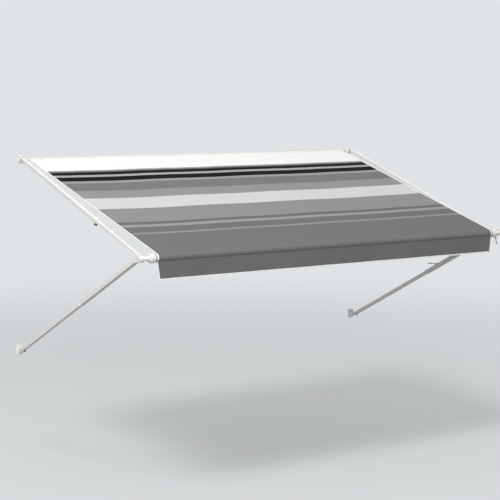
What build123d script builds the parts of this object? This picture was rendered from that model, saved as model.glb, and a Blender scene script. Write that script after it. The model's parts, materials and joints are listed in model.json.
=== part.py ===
"""Roll out patio awning for the side wall of a caravan, seen open.

Millimetres. +X runs along the wall to the right, +Z is up and -Y points out from the wall.
The origin is the middle of the back face of the awning rail, on the wall.
Each pair of arms is built once, for the left side, and mirrored for the right side.
"""

import os
from math import asin, atan2, cos, degrees, hypot, pi, radians, sin

from build123d import *

# Running clearances shared by all pieces
overrun = 2.0
edge_break = 1.0
seat_gap = 0.1
pin_gap = 0.08
slide_gap = 0.4
cloth_gap = 0.3

# Layout on the wall, open position
arm_spacing = 4267.0
bracket_drop = 1910.0
rafter_run = 2320.0
rafter_drop = 780.0
rafter_pin_reach = 45.0
arm_pin_reach = 76.0
rafter_offset = 48.0

# Layout folded against the wall
stowed_roller_drop = 20.0
stowed_rafter = 1650.0

# Roller seat at the end of the arm
roller_overhang = 60.0
roller_standoff = 20.0

# Awning rail, an extrusion with a bead groove
rail_inset = 93.5
rail_height = 30.0
rail_wall = 2.2
rail_tube_radius = 7.5
rail_bead_radius = 4.2
rail_groove_gap = 0.5
rail_slot = 3.2
rail_lip = 5.0
rail_tube_reach = 8.4
rail_tube_drop = 5.0
rail_screw_count = 14
rail_screw_end = 90.0
rail_screw_rise = 8.0
stop_screw_inset = 12.0

# Holes for the wall screws, and the screws that stop the canopy
rail_hole_radius = 2.2
lag_hole_radius = 3.3
stop_screw_radius = 2.1

# Wall brackets, cast with a base plate and two cheeks
bracket_plate = 5.0
bracket_cheek = 4.0
top_plate_width = 64.0
top_plate_height = 84.0
top_cheek_radius = 14.0
bottom_plate_width = 76.0
bottom_plate_height = 104.0
bottom_cheek_radius = 17.0
bracket_corner = 8.0
lag_edge = 10.0
cheek_spread_share = 0.58

# Pivot pins in the brackets
rafter_pin_radius = 6.5
arm_pin_radius = 8.0
pin_head_extra = 3.5
pin_head_height = 3.0
cheek_clearance = 0.6

# Leg, the lower and inner tube of the main arm
leg_width = 40.0
leg_depth = 32.0
leg_wall = 2.0
leg_corner = 3.0
leg_start = 72.0
leg_top = 1690.0
leg_hole_radius = 5.5
leg_hole_count = 13
leg_hole_steps_folded = 12

# Foot casting and its latch
foot_width = 28.0
foot_depth = 30.0
foot_neck = 52.0
foot_plug = 44.0
foot_slot = 9.0
latch_width = 8.0
latch_pin_radius = 3.0
latch_pin_height = 40.0
latch_thickness = 5.0
latch_tab = 24.0
latch_tab_angle = 150.0
latch_eye = 7.0
latch_swing = 21.0
foot_rivet_radius = 3.0
foot_rivet_height = 1.6
foot_rivet_head = 5.0

# Arm channel, the upper and outer tube of the main arm
channel_width = 48.0
channel_depth = 40.0
channel_wall = 2.0
channel_lip = 8.0
channel_corner = 3.0
channel_start = 1400.0
channel_groove = 3.0
channel_groove_depth = 0.9
channel_end_gap = 22.0
collar_length = 46.0
collar_flange = 8.0
collar_skirt = 3.0
glide_length = 34.0
glide_crown = 4.0

# Head casting at the top of the arm
head_half_width = 22.0
head_boss = 31.0
head_neck = 18.0
head_plug = 60.0
head_cover = 25.0
head_cover_height = 5.0
stud_radius = 6.0
stud_shoulder = 9.5
stud_flange_height = 2.5
head_rib = 4.0

# Lift handle on the arm channel
handle_pivot_along = 1585.0
handle_length = 122.0
handle_out_angle = 22.0
handle_width = 22.0
handle_thickness = 8.0
handle_pivot_radius = 3.0
handle_eye = 7.0
handle_stand = 7.5
handle_grip_length = 46.0
handle_grip_extra = 3.0
tooth_radius = 3.5
tooth_inset = 20.0
tooth_reach = 2.4
ear_thickness = 3.0
handle_base = 2.0

# Rafter, outer and inner tube
rafter_width = 34.0
rafter_depth = 38.0
rafter_wall = 2.0
rafter_corner = 3.0
rafter_start = 62.0
rafter_end = 1575.0
rafter_tongue = 26.0
rafter_tongue_radius = 15.0
rafter_neck = 44.0
rafter_plug = 40.0
inner_width = 27.0
inner_depth = 31.0
inner_wall = 2.0
inner_corner = 2.5
inner_start = 950.0
rafter_groove = 3.0

# Rafter collar with its clamp knob
rafter_collar_length = 58.0
rafter_collar_extra = 3.0
rafter_collar_seat = 30.0
knob_stud_radius = 4.0
knob_boss_radius = 10.0
knob_boss_height = 3.0
knob_radius = 19.0
knob_height = 14.0
knob_lobes = 5
knob_lobe_radius = 6.0

# Claw at the outer end of the rafter
claw_width = 22.0
claw_radius = 15.0
claw_neck = 34.0
claw_plug = 36.0
claw_mouth = 14.0

# Roller tube with three bead grooves
tube_radius = 40.0
tube_wall = 1.8
tube_inset = 128.0
fabric_inset = 138.5
groove_radius = 4.4
groove_wall = 1.8
groove_depth = 5.6
groove_slot = 3.2
canopy_groove_angle = 205.0
valance_groove_angle = 227.0
spare_groove_angle = 330.0
bead_radius = 3.9

# Roller end caps, axles and torsion springs
cap_start = 80.0
cap_radius = 43.0
cap_round = 3.0
cap_hub = 26.0
cap_hub_length = 14.0
cap_plug_length = 30.0
cap_ribs = 8
cap_rib_width = 4.0
axle_radius = 8.0
axle_end = 1090.0
spring_radius = 19.0
spring_bore = 14.0
anchor_length = 26.0
anchor_radius = 26.5

# Roll lock on the right head
ratchet_teeth = 12
ratchet_radius = 29.0
ratchet_root = 24.0
ratchet_width = 6.0
lock_angle = 186.0
lock_pivot_reach = 50.0
lock_width = 5.5
lock_pin_radius = 3.5
lock_eye = 8.5
lock_lever = 62.0
lock_loop = 10.0
lock_ear = 10.0

# Canopy and valance
fabric = 0.8
hem_extra = 0.8
hem_width = 28.0
valance_drop = 183.0
valance_bend = 12.0
valance_slant = 22.0

# Derived geometry
rail_length = arm_spacing - 2 * rail_inset
rail_screw_pitch = (rail_length - 2 * rail_screw_end) / (rail_screw_count - 1)
fabric_width = arm_spacing - 2 * fabric_inset
arm_run = rafter_pin_reach + rafter_run - arm_pin_reach
arm_rise = bracket_drop - rafter_drop
arm_reach = hypot(arm_run, arm_rise)
arm_lean = degrees(atan2(arm_run, arm_rise))
rafter_reach = hypot(rafter_run, rafter_drop)
rafter_lean = degrees(atan2(rafter_run, rafter_drop))
roller_along = arm_reach + roller_overhang
arm_travel = roller_along - (bracket_drop - stowed_roller_drop)
rafter_travel = rafter_reach - stowed_rafter
half_spacing = arm_spacing / 2
channel_end = arm_reach - channel_end_gap
hole_pitch = arm_travel / leg_hole_steps_folded

arm_frame = Pos(0, -arm_pin_reach, -bracket_drop) * Rot(arm_lean, 0, 0)
rafter_frame = Pos(rafter_offset, -rafter_pin_reach, 0) * Rot(180 - rafter_lean, 0, 0)


def arm_point(across, along):
    """World (y, z) of a point of the arm's own frame."""
    lean = radians(arm_lean)
    y = -arm_pin_reach + across * cos(lean) - along * sin(lean)
    z = -bracket_drop + across * sin(lean) + along * cos(lean)
    return y, z


roller_y, roller_z = arm_point(-roller_standoff, roller_along)
rail_bead_y = -rail_tube_reach
rail_bead_z = -rail_tube_drop
fabric_radius = tube_radius + cloth_gap + fabric / 2
bead_to_roller = hypot(roller_y - rail_bead_y, roller_z - rail_bead_z)
line_angle = degrees(
    atan2(roller_z - rail_bead_z, roller_y - rail_bead_y) % (2 * pi) - asin(fabric_radius / bead_to_roller)
)


# Shapes that several pieces share
def x_rod(radius, start, end, y=0, z=0):
    """Round bar along X from start to end."""
    bar = Cylinder(radius, end - start, align=(Align.CENTER, Align.CENTER, Align.MIN))
    return Pos(start, y, z) * Rot(0, 90, 0) * bar


def side_plate(outline, start, end):
    """Plate with an outline drawn in Y and Z, thick along X."""
    return Pos(start, 0, 0) * extrude(Plane.YZ * outline, end - start)


def round_bar(width, depth, corner, start, end):
    """Solid bar along Z with rounded corners."""
    section = RectangleRounded(width, depth, corner)
    return Pos(0, 0, start) * extrude(section, end - start)


def box_tube(width, depth, wall, corner, start, end):
    """Rectangular tube along Z."""
    bore = round_bar(width - 2 * wall, depth - 2 * wall, corner - wall / 2, start - overrun, end + overrun)
    return round_bar(width, depth, corner, start, end) - bore


def flare(width, depth, start, wide, deep, end, corner):
    """Casting neck that grows from one rounded section to another."""
    low = Pos(0, 0, start) * chamfer(Rectangle(width, depth).vertices(), corner)
    high = Pos(0, 0, end) * chamfer(Rectangle(wide, deep).vertices(), corner)
    return loft([low, high], ruled=True)


def at_angle(radius, angle):
    """Point on a circle, with the angle in degrees."""
    return radius * cos(radians(angle)), radius * sin(radians(angle))


def tongue(width, radius, length):
    """Flat end of a casting, rounded about the X axis, with broken edges."""
    outline = Circle(radius) + Pos(0, length / 2) * Rectangle(2 * radius, length)
    plate = side_plate(outline, -width / 2, width / 2)
    sides = plate.faces().sort_by(Axis.X)
    return chamfer(sides[0].edges() + sides[-1].edges(), edge_break)


def headed_pin(radius, half_grip):
    """Clevis pin along X with a domed head at each end."""
    head = radius + pin_head_extra
    pin = x_rod(radius, -half_grip - pin_head_height, half_grip + pin_head_height)
    for side in (-1, 1):
        start, end = sorted((side * half_grip, side * (half_grip + pin_head_height)))
        cap = x_rod(head, start, end)
        rim = cap.edges().sort_by(Axis.X)[0 if side < 0 else -1]
        pin += chamfer(rim, pin_head_height / 2)
    return pin


# Awning rail
def rail_hole_places():
    """X of each screw along the rail."""
    first = -(rail_screw_count - 1) / 2
    return [(first + index) * rail_screw_pitch for index in range(rail_screw_count)]


def awning_rail():
    """Flanged extrusion whose round groove holds the bead of the canopy."""
    flange = Pos(-rail_wall / 2, 0) * Rectangle(rail_wall, rail_height)
    lip = Pos(-rail_lip / 2, (rail_height - rail_wall) / 2) * Rectangle(rail_lip, rail_wall)
    tube = Pos(rail_bead_y, rail_bead_z) * Circle(rail_tube_radius)
    bore = Pos(rail_bead_y, rail_bead_z) * Circle(rail_bead_radius + rail_groove_gap)
    mouth = Rot(0, 0, line_angle) * Pos(rail_tube_radius, 0) * Rectangle(2 * rail_tube_radius, rail_slot)
    slot = Pos(rail_bead_y, rail_bead_z) * mouth
    wall_side = Pos(rail_tube_radius, 0) * Rectangle(2 * rail_tube_radius, 2 * rail_height)
    rail = side_plate(flange + lip + tube - bore - slot - wall_side, -rail_length / 2, rail_length / 2)
    drill = Rot(90, 0, 0) * Cylinder(rail_hole_radius, 2 * rail_lip)
    return rail - [Pos(x, 0, rail_screw_rise) * drill for x in rail_hole_places()]


def rail_screws():
    """The two screws in the rail's groove that stop the canopy from sliding along."""
    stop_x = fabric_width / 2 + stop_screw_inset
    stop_length = rail_groove_gap + rail_bead_radius
    stop = Pos(0, rail_bead_y, rail_bead_z - rail_bead_radius) * Rot(180, 0, 0) * Cylinder(
        stop_screw_radius, stop_length, align=(Align.CENTER, Align.CENTER, Align.MAX)
    )
    return [Pos(side * stop_x, 0, 0) * stop for side in (-1, 1)]


def bead_in_rail():
    """Round bead sewn to the top edge of the canopy, with the tail that passes through the slot."""
    bead = Pos(rail_bead_y, rail_bead_z) * Circle(rail_bead_radius)
    length = rail_tube_radius
    tail = Rot(0, 0, line_angle) * Pos(length / 2, 0) * Rectangle(length, fabric)
    return side_plate(bead + Pos(rail_bead_y, rail_bead_z) * tail, -fabric_width / 2, fabric_width / 2)


# Wall brackets
def lag_places(width, height):
    """The four screw places of a bracket's base plate, as (x, z)."""
    across = width / 2 - lag_edge
    up = height / 2 - lag_edge
    return [(sx * across, sz * up) for sx in (-1, 1) for sz in (-1, 1)]


def wall_bracket(width, height, reach, cheek_radius, inner_half, pin_radius):
    """Base plate with two cheeks that carry a pin along X. The pin stands at reach from the wall."""
    face = Rot(90, 0, 0) * extrude(RectangleRounded(width, height, bracket_corner), bracket_plate)
    base = face
    spread = cheek_spread_share * height
    wall_line = Line((-bracket_plate, -spread / 2), (-bracket_plate, spread / 2))
    nose = CenterArc((-reach, 0), cheek_radius, 0, 360)
    outline = make_hull([wall_line, nose])
    for side in (-1, 1):
        start, end = sorted((side * inner_half, side * (inner_half + bracket_cheek)))
        base += side_plate(outline, start, end)
    bore = x_rod(pin_radius + pin_gap, -width, width, y=-reach)
    drill = Rot(90, 0, 0) * Cylinder(lag_hole_radius, 4 * bracket_plate)
    holes = [Pos(x, 0, z) * drill for x, z in lag_places(width, height)]
    return base - bore - holes


def top_half_grip():
    """From the middle of the rafter to the inner face of a cheek of its bracket."""
    return rafter_tongue / 2 + cheek_clearance


def bottom_half_grip():
    """From the middle of the foot to the inner face of a cheek of its bracket."""
    return foot_width / 2 + cheek_clearance


def top_bracket():
    """Upper bracket, which carries the rafter."""
    bracket = wall_bracket(
        top_plate_width,
        top_plate_height,
        rafter_pin_reach,
        top_cheek_radius,
        top_half_grip(),
        rafter_pin_radius,
    )
    return Pos(rafter_offset, 0, 0) * bracket


def bottom_bracket():
    """Lower bracket, which carries the foot of the main arm."""
    bracket = wall_bracket(
        bottom_plate_width,
        bottom_plate_height,
        arm_pin_reach,
        bottom_cheek_radius,
        bottom_half_grip(),
        arm_pin_radius,
    )
    return Pos(0, 0, -bracket_drop) * bracket


def top_pin():
    """Pin of the rafter."""
    pin = headed_pin(rafter_pin_radius, top_half_grip() + bracket_cheek + seat_gap)
    return Pos(rafter_offset, -rafter_pin_reach, 0) * pin


def bottom_pin():
    """Pin of the main arm."""
    pin = headed_pin(arm_pin_radius, bottom_half_grip() + bracket_cheek + seat_gap)
    return Pos(0, -arm_pin_reach, -bracket_drop) * pin


# Main arm, lower half
def leg():
    """Inner tube with a row of pitch holes in the face towards the wall."""
    tube = box_tube(leg_width, leg_depth, leg_wall, leg_corner, leg_start, leg_top)
    drill = Pos(0, leg_depth / 2, 0) * Rot(90, 0, 0) * Cylinder(leg_hole_radius, 2 * leg_wall)
    top_hole = handle_pivot_along - tooth_inset
    holes = [Pos(0, 0, top_hole - step * hole_pitch) * drill for step in range(leg_hole_count)]
    return arm_frame * (tube - holes - foot_rivet_hole())


def foot_rivet_hole():
    """Hole of the rivet that holds the foot in the leg."""
    return x_rod(foot_rivet_radius + seat_gap, -leg_width, leg_width, z=leg_start + foot_plug / 2)


def foot():
    """Cast foot that hooks over the pin of the lower bracket."""
    heel = tongue(foot_width, foot_depth / 2, foot_neck)
    shoulder = flare(
        foot_width, foot_depth, foot_neck - overrun, leg_width, leg_depth, leg_start - seat_gap, leg_corner
    )
    plug_width = leg_width - 2 * leg_wall - 2 * seat_gap
    plug_depth = leg_depth - 2 * leg_wall - 2 * seat_gap
    plug_corner = leg_corner - leg_wall / 2
    plug = round_bar(plug_width, plug_depth, plug_corner, leg_start - overrun, leg_start + foot_plug)
    bore = x_rod(arm_pin_radius + pin_gap, -foot_width, foot_width)
    mouth = Pos(0, 0, -foot_depth / 2) * Box(2 * foot_width, 2 * (arm_pin_radius + pin_gap), foot_depth)
    cut_height = latch_pin_height + latch_swing + foot_depth
    cut = Box(foot_slot, foot_depth - latch_eye / 2, cut_height)
    slot = Pos(0, -latch_eye / 2, cut_height / 2 - foot_depth) * cut
    pin_hole = x_rod(latch_pin_radius + seat_gap, -foot_width, foot_width, z=latch_pin_height)
    casting = heel + shoulder + plug
    return arm_frame * (casting - bore - mouth - slot - pin_hole - foot_rivet_hole())


def foot_pins():
    """Pin of the latch, and the rivet that holds the foot in the leg."""
    half = foot_width / 2 - seat_gap
    pin = x_rod(latch_pin_radius, -half, half, z=latch_pin_height)
    height = leg_start + foot_plug / 2
    reach = leg_width / 2 + seat_gap
    rivet = x_rod(foot_rivet_radius, -reach - foot_rivet_height, reach + foot_rivet_height, z=height)
    for side in (-1, 1):
        start, end = sorted((side * reach, side * (reach + foot_rivet_height)))
        rivet += x_rod(foot_rivet_head, start, end, z=height)
    return [arm_frame * pin, arm_frame * rivet]


def foot_latch():
    """Lever in the slot of the foot whose hook keeps the pin from leaving the foot."""
    inner = arm_pin_radius + pin_gap + slide_gap
    outer = foot_depth / 2 - slide_gap
    strap = Pos(-(inner + outer) / 2, latch_pin_height / 2) * Rectangle(outer - inner, latch_pin_height)
    hook = Circle(outer) - Circle(inner)
    keep = Pos(-outer / 2, -outer / 2) * Rectangle(outer + 2 * slide_gap, outer)
    eye = Pos(0, latch_pin_height) * Circle(latch_eye)
    web = Pos(-outer / 2, latch_pin_height - latch_thickness / 2) * Rectangle(outer, latch_thickness)
    tab_line = Pos(-outer, latch_pin_height) * Rot(0, 0, latch_tab_angle) * Pos(latch_tab / 2, 0)
    tab = tab_line * Rectangle(latch_tab, latch_thickness)
    profile = strap + (hook & keep) + eye + web + tab
    bore = Pos(0, latch_pin_height) * Circle(latch_pin_radius + pin_gap)
    return arm_frame * side_plate(profile - bore, -latch_width / 2, latch_width / 2)


def leg_glide():
    """Plastic cap on the upper end of the leg that slides in the channel."""
    width = channel_width - 2 * channel_wall - 2 * slide_gap
    depth = channel_depth - 2 * channel_wall - 2 * slide_gap
    sleeve = round_bar(width, depth, leg_corner, leg_top - glide_length, leg_top + glide_crown)
    low = leg_top - glide_length - overrun
    leg_hole = round_bar(
        leg_width + 2 * seat_gap, leg_depth + 2 * seat_gap, leg_corner, low, leg_top + seat_gap
    )
    return arm_frame * (sleeve - leg_hole)


# Main arm, upper half
def channel_section():
    """C section, open towards the wall, with two shallow grooves in its back."""
    outer = RectangleRounded(channel_width, channel_depth, channel_corner)
    inner = RectangleRounded(
        channel_width - 2 * channel_wall, channel_depth - 2 * channel_wall, channel_corner - channel_wall / 2
    )
    mouth_width = channel_width - 2 * channel_wall - 2 * channel_lip
    mouth = Pos(0, channel_depth / 2) * Rectangle(mouth_width, 2 * channel_wall + overrun)
    section = outer - inner - mouth
    for side in (-1, 1):
        groove_x = side * channel_width / 4
        section -= Pos(groove_x, -channel_depth / 2) * Rectangle(channel_groove, 2 * channel_groove_depth)
    return section


def arm_channel():
    """Outer channel of the arm."""
    return arm_frame * Pos(0, 0, channel_start) * extrude(channel_section(), channel_end - channel_start)


def arm_collar():
    """Plastic guide in the lower end of the channel, around the leg."""
    plug_width = channel_width - 2 * channel_wall - 2 * seat_gap
    plug_depth = channel_depth - 2 * channel_wall - 2 * seat_gap
    inside_end = channel_start + collar_length - collar_flange
    inside = round_bar(plug_width, plug_depth, leg_corner, channel_start - overrun, inside_end)
    flange_width = channel_width + 2 * collar_skirt
    flange_depth = channel_depth + 2 * collar_skirt
    start = channel_start - seat_gap - collar_flange
    flange_corner = channel_corner + collar_skirt
    flange = round_bar(flange_width, flange_depth, flange_corner, start, channel_start - seat_gap)
    way_width = leg_width + 2 * slide_gap
    way_depth = leg_depth + 2 * slide_gap
    way = round_bar(way_width, way_depth, leg_corner, start - overrun, channel_start + collar_length)
    rim = flange.faces().sort_by(Axis.Z)[0].edges()
    return arm_frame * (chamfer(rim, collar_flange / 4) + inside - way)


def head_outline():
    """Side view of the head: a neck that sweeps from the channel out to the roller's boss."""
    base = Line((-channel_depth / 2, channel_end + seat_gap), (channel_depth / 2, channel_end + seat_gap))
    boss = CenterArc((-roller_standoff, roller_along), head_boss, 0, 360)
    return make_hull([base, boss])


def head():
    """Cast head with the roller's boss, the hollow neck for the axle and the stud of the rafter."""
    body = side_plate(head_outline(), -head_half_width, head_half_width)
    plug_width = channel_width - 2 * channel_wall - 2 * seat_gap
    plug_depth = channel_depth - 2 * channel_wall - 2 * seat_gap
    body += round_bar(plug_width, plug_depth, leg_corner, channel_end - head_plug, channel_end + overrun)
    y, z = -roller_standoff, roller_along
    body += x_rod(head_neck, 0, cap_start - cap_hub_length - seat_gap, y=y, z=z)
    cover = x_rod(head_cover, -head_half_width - head_cover_height, -head_half_width + overrun, y=y, z=z)
    body += chamfer(cover.edges().sort_by(Axis.X)[0], head_cover_height / 2)
    stud_end = rafter_offset + claw_width / 2 + slide_gap
    shoulder_end = rafter_offset - claw_width / 2 - slide_gap
    body += x_rod(stud_shoulder, head_half_width - overrun, shoulder_end, z=arm_reach)
    body += x_rod(stud_radius, head_half_width, stud_end + stud_flange_height, z=arm_reach)
    body += x_rod(stud_shoulder, stud_end, stud_end + stud_flange_height, z=arm_reach)
    pocket_outline = offset(head_outline(), -head_rib)
    hub = Pos(y, z) * Circle(head_neck + head_rib)
    pocket = side_plate(pocket_outline - hub, head_half_width - head_rib, head_half_width + overrun)
    body -= pocket - x_rod(stud_shoulder, 0, rafter_offset, z=arm_reach)
    body -= x_rod(axle_radius + seat_gap, 0, 2 * cap_start, y=y, z=z)
    return arm_frame * body


def axle():
    """Torsion rod held in the head, on which the roller turns."""
    return arm_frame * x_rod(axle_radius, seat_gap, axle_end, y=-roller_standoff, z=roller_along)


def spring_anchor():
    """Disc on the inner end of the torsion rod that holds the fixed end of the spring."""
    y, z = -roller_standoff, roller_along
    disc = x_rod(anchor_radius, axle_end - anchor_length, axle_end, y=y, z=z)
    bore = x_rod(axle_radius + seat_gap, 0, axle_end + overrun, y=y, z=z)
    return arm_frame * (disc - bore)


def handle_bracket():
    """Two ears on the lips of the channel that hold the pin of the lift handle."""
    top = channel_depth / 2 + seat_gap
    inner = handle_width / 2 + slide_gap
    eye = Pos(channel_depth / 2 + handle_stand, handle_pivot_along) * Circle(handle_eye)
    foot_line = Pos(top + handle_base / 2, handle_pivot_along) * Rectangle(handle_base, 4 * handle_eye)
    ear = make_hull([*eye.edges(), *foot_line.edges()])
    stand = channel_depth / 2 + handle_stand
    bore = x_rod(handle_pivot_radius + seat_gap, -channel_width, channel_width, y=stand, z=handle_pivot_along)
    halves = []
    for side in (-1, 1):
        start, end = sorted((side * inner, side * (inner + ear_thickness)))
        base_start, base_end = sorted((side * inner, side * channel_width / 2))
        half = side_plate(ear, start, end) + side_plate(foot_line, base_start, base_end)
        halves.append(arm_frame * (half - bore))
    return halves


def handle_pin():
    """Pin of the lift handle."""
    half = handle_width / 2 + slide_gap + ear_thickness + seat_gap
    stand = channel_depth / 2 + handle_stand
    return arm_frame * x_rod(handle_pivot_radius, -half, half, y=stand, z=handle_pivot_along)


def lift_handle():
    """Lever with a finger grip and a locking tooth, standing out as it is seen in use."""
    eye = Circle(handle_eye)
    blade = Pos(0, -handle_length / 2) * Rectangle(handle_thickness, handle_length)
    tip = Pos(0, -handle_length) * Circle(handle_thickness / 2)
    profile = eye + blade + tip
    lever = side_plate(profile, -handle_width / 2, handle_width / 2)
    grip_thickness = handle_thickness + 2 * handle_grip_extra
    grip_section = SlotCenterToCenter(handle_width - handle_thickness, grip_thickness)
    grip = Pos(0, 0, -handle_length) * extrude(grip_section, handle_grip_length)
    grip = chamfer(grip.faces().sort_by(Axis.Z)[0].edges(), handle_grip_extra / 2)
    tooth_end = leg_depth / 2 - tooth_reach - channel_depth / 2 - handle_stand
    tooth = Pos(0, 0, -tooth_inset) * Rot(90, 0, 0) * Cylinder(
        tooth_radius, -tooth_end, align=(Align.CENTER, Align.CENTER, Align.MIN)
    )
    bore = x_rod(handle_pivot_radius + pin_gap, -handle_width, handle_width)
    folded = lever + grip + tooth - bore
    out = Rot(handle_out_angle, 0, 0) * folded
    return arm_frame * Pos(0, channel_depth / 2 + handle_stand, handle_pivot_along) * out


# Rafter
def rafter_tube():
    """Outer tube of the rafter with a groove in each side."""
    tube = box_tube(rafter_width, rafter_depth, rafter_wall, rafter_corner, rafter_start, rafter_end)
    length = rafter_end - rafter_start
    for side in (-1, 1):
        cut = Box(channel_groove_depth * 2, rafter_groove, length + 2 * overrun)
        tube -= Pos(side * rafter_width / 2, 0, rafter_start + length / 2) * cut
    return rafter_frame * tube


def rafter_hinge():
    """Cast tongue that turns on the pin of the upper bracket."""
    eye = tongue(rafter_tongue, rafter_tongue_radius, rafter_neck)
    depth = 2 * rafter_tongue_radius
    neck_end = rafter_start - seat_gap
    shoulder = flare(
        rafter_tongue, depth, rafter_neck - overrun, rafter_width, rafter_depth, neck_end, rafter_corner
    )
    plug_width = rafter_width - 2 * rafter_wall - 2 * seat_gap
    plug_depth = rafter_depth - 2 * rafter_wall - 2 * seat_gap
    plug_corner = rafter_corner - rafter_wall / 2
    plug = round_bar(plug_width, plug_depth, plug_corner, rafter_start - overrun, rafter_start + rafter_plug)
    bore = x_rod(rafter_pin_radius + pin_gap, -rafter_width, rafter_width)
    return rafter_frame * (eye + shoulder + plug - bore)


def rafter_collar():
    """Cast sleeve on the end of the outer tube, with the boss of the clamp knob underneath."""
    width = rafter_width + 2 * rafter_collar_extra
    depth = rafter_depth + 2 * rafter_collar_extra
    start = rafter_end - rafter_collar_seat
    sleeve = round_bar(width, depth, rafter_corner + rafter_collar_extra, start, start + rafter_collar_length)
    rims = sleeve.faces().sort_by(Axis.Z)[-1].edges() + sleeve.faces().sort_by(Axis.Z)[0].edges()
    sleeve = chamfer(rims, rafter_collar_extra / 2)
    seat_width = rafter_width + 2 * seat_gap
    seat_depth = rafter_depth + 2 * seat_gap
    seat = round_bar(seat_width, seat_depth, rafter_corner, start - overrun, rafter_end + seat_gap)
    way_width = inner_width + 2 * slide_gap
    way_depth = inner_depth + 2 * slide_gap
    way = round_bar(way_width, way_depth, inner_corner, start, start + 2 * rafter_collar_length)
    drill = Pos(0, -depth / 2, knob_along()) * Rot(90, 0, 0)
    boss = drill * Pos(0, 0, -overrun) * Cylinder(
        knob_boss_radius, knob_boss_height + overrun, align=(Align.CENTER, Align.CENTER, Align.MIN)
    )
    hole = drill * Cylinder(knob_stud_radius + pin_gap, rafter_depth)
    return rafter_frame * (sleeve + boss - seat - way - hole)


def knob_along():
    """Place of the knob along the rafter."""
    return rafter_end + (rafter_collar_length - rafter_collar_seat) / 2


def rafter_inner():
    """Inner tube of the rafter."""
    return rafter_frame * box_tube(
        inner_width, inner_depth, inner_wall, inner_corner, inner_start, rafter_reach - claw_neck
    )


def rafter_claw():
    """Cast end whose open mouth sits under the stud of the head."""
    start = rafter_reach - claw_neck
    nose = Pos(0, rafter_reach) * Circle(claw_radius)
    throat_depth = 2 * claw_radius
    throat = Pos(0, start + claw_neck / 2) * Rectangle(throat_depth, claw_neck)
    cheek = side_plate(nose + throat, -claw_width / 2, claw_width / 2)
    throat_start = start + claw_mouth
    shoulder = flare(
        inner_width, inner_depth, start + seat_gap, claw_width, throat_depth, throat_start, inner_corner
    )
    plug_width = inner_width - 2 * inner_wall - 2 * seat_gap
    plug_depth = inner_depth - 2 * inner_wall - 2 * seat_gap
    plug = round_bar(plug_width, plug_depth, inner_corner / 2, start - claw_plug, start + overrun)
    bore_radius = stud_radius + pin_gap
    bore = x_rod(bore_radius, -claw_width, claw_width, z=rafter_reach)
    up = Pos(0, 0, rafter_reach) * Rot(rafter_lean - 180, 0, 0)
    mouth = up * Pos(0, 0, claw_radius) * Box(2 * claw_width, 2 * bore_radius, 2 * claw_radius)
    below = Pos(0, 0, start - claw_plug) * Box(rafter_width, rafter_depth, 2 * claw_plug)
    solid = (cheek - below) + shoulder + plug - bore - mouth
    return rafter_frame * solid


def rafter_knob():
    """Lobed clamp knob with a threaded stud that ends just short of the inner tube."""
    depth = rafter_depth + 2 * rafter_collar_extra
    outline = Circle(knob_radius - knob_lobe_radius / 2)
    for lobe in range(knob_lobes):
        x, y = at_angle(knob_radius - knob_lobe_radius, lobe * 360 / knob_lobes)
        outline += Pos(x, y) * Circle(knob_lobe_radius)
    grip = extrude(outline, knob_height)
    stud_length = depth / 2 - inner_depth / 2 - cloth_gap + knob_boss_height + seat_gap
    stud = Pos(0, 0, -stud_length) * Cylinder(
        knob_stud_radius, stud_length + overrun, align=(Align.CENTER, Align.CENTER, Align.MIN)
    )
    seat = Pos(0, -depth / 2 - knob_boss_height - seat_gap, knob_along()) * Rot(90, 0, 0)
    return rafter_frame * seat * (grip + stud)


# Roller
def tube_outline():
    """Section of the roller tube, drawn about its axis in Y and Z."""
    groove_line = tube_radius - groove_depth
    section = Circle(tube_radius) - Circle(tube_radius - tube_wall)
    angles = (canopy_groove_angle, valance_groove_angle, spare_groove_angle)
    for angle in angles:
        y, z = at_angle(groove_line, angle)
        section += Pos(y, z) * Circle(groove_radius + groove_wall)
    section = section & Circle(tube_radius)
    for angle in angles:
        y, z = at_angle(groove_line, angle)
        slot = Rot(0, 0, angle) * Pos(tube_radius, 0) * Rectangle(2 * groove_depth, groove_slot)
        section -= [Pos(y, z) * Circle(groove_radius), slot]
    return section


def roller_tube():
    """Grooved tube over the whole width."""
    outline = Pos(roller_y, roller_z) * tube_outline()
    return side_plate(outline, tube_inset - half_spacing, half_spacing - tube_inset)


def bead_in_groove(angle):
    """Bead of a cloth edge in one groove of the tube, with the tail that comes out of the slot."""
    y, z = at_angle(tube_radius - groove_depth, angle)
    bead = Pos(y, z) * Circle(bead_radius)
    tail = Rot(0, 0, angle) * Pos(tube_radius - groove_depth / 2, 0) * Rectangle(groove_depth, fabric)
    outline = Pos(roller_y, roller_z) * (bead + tail)
    return side_plate(outline, -fabric_width / 2, fabric_width / 2)


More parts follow.
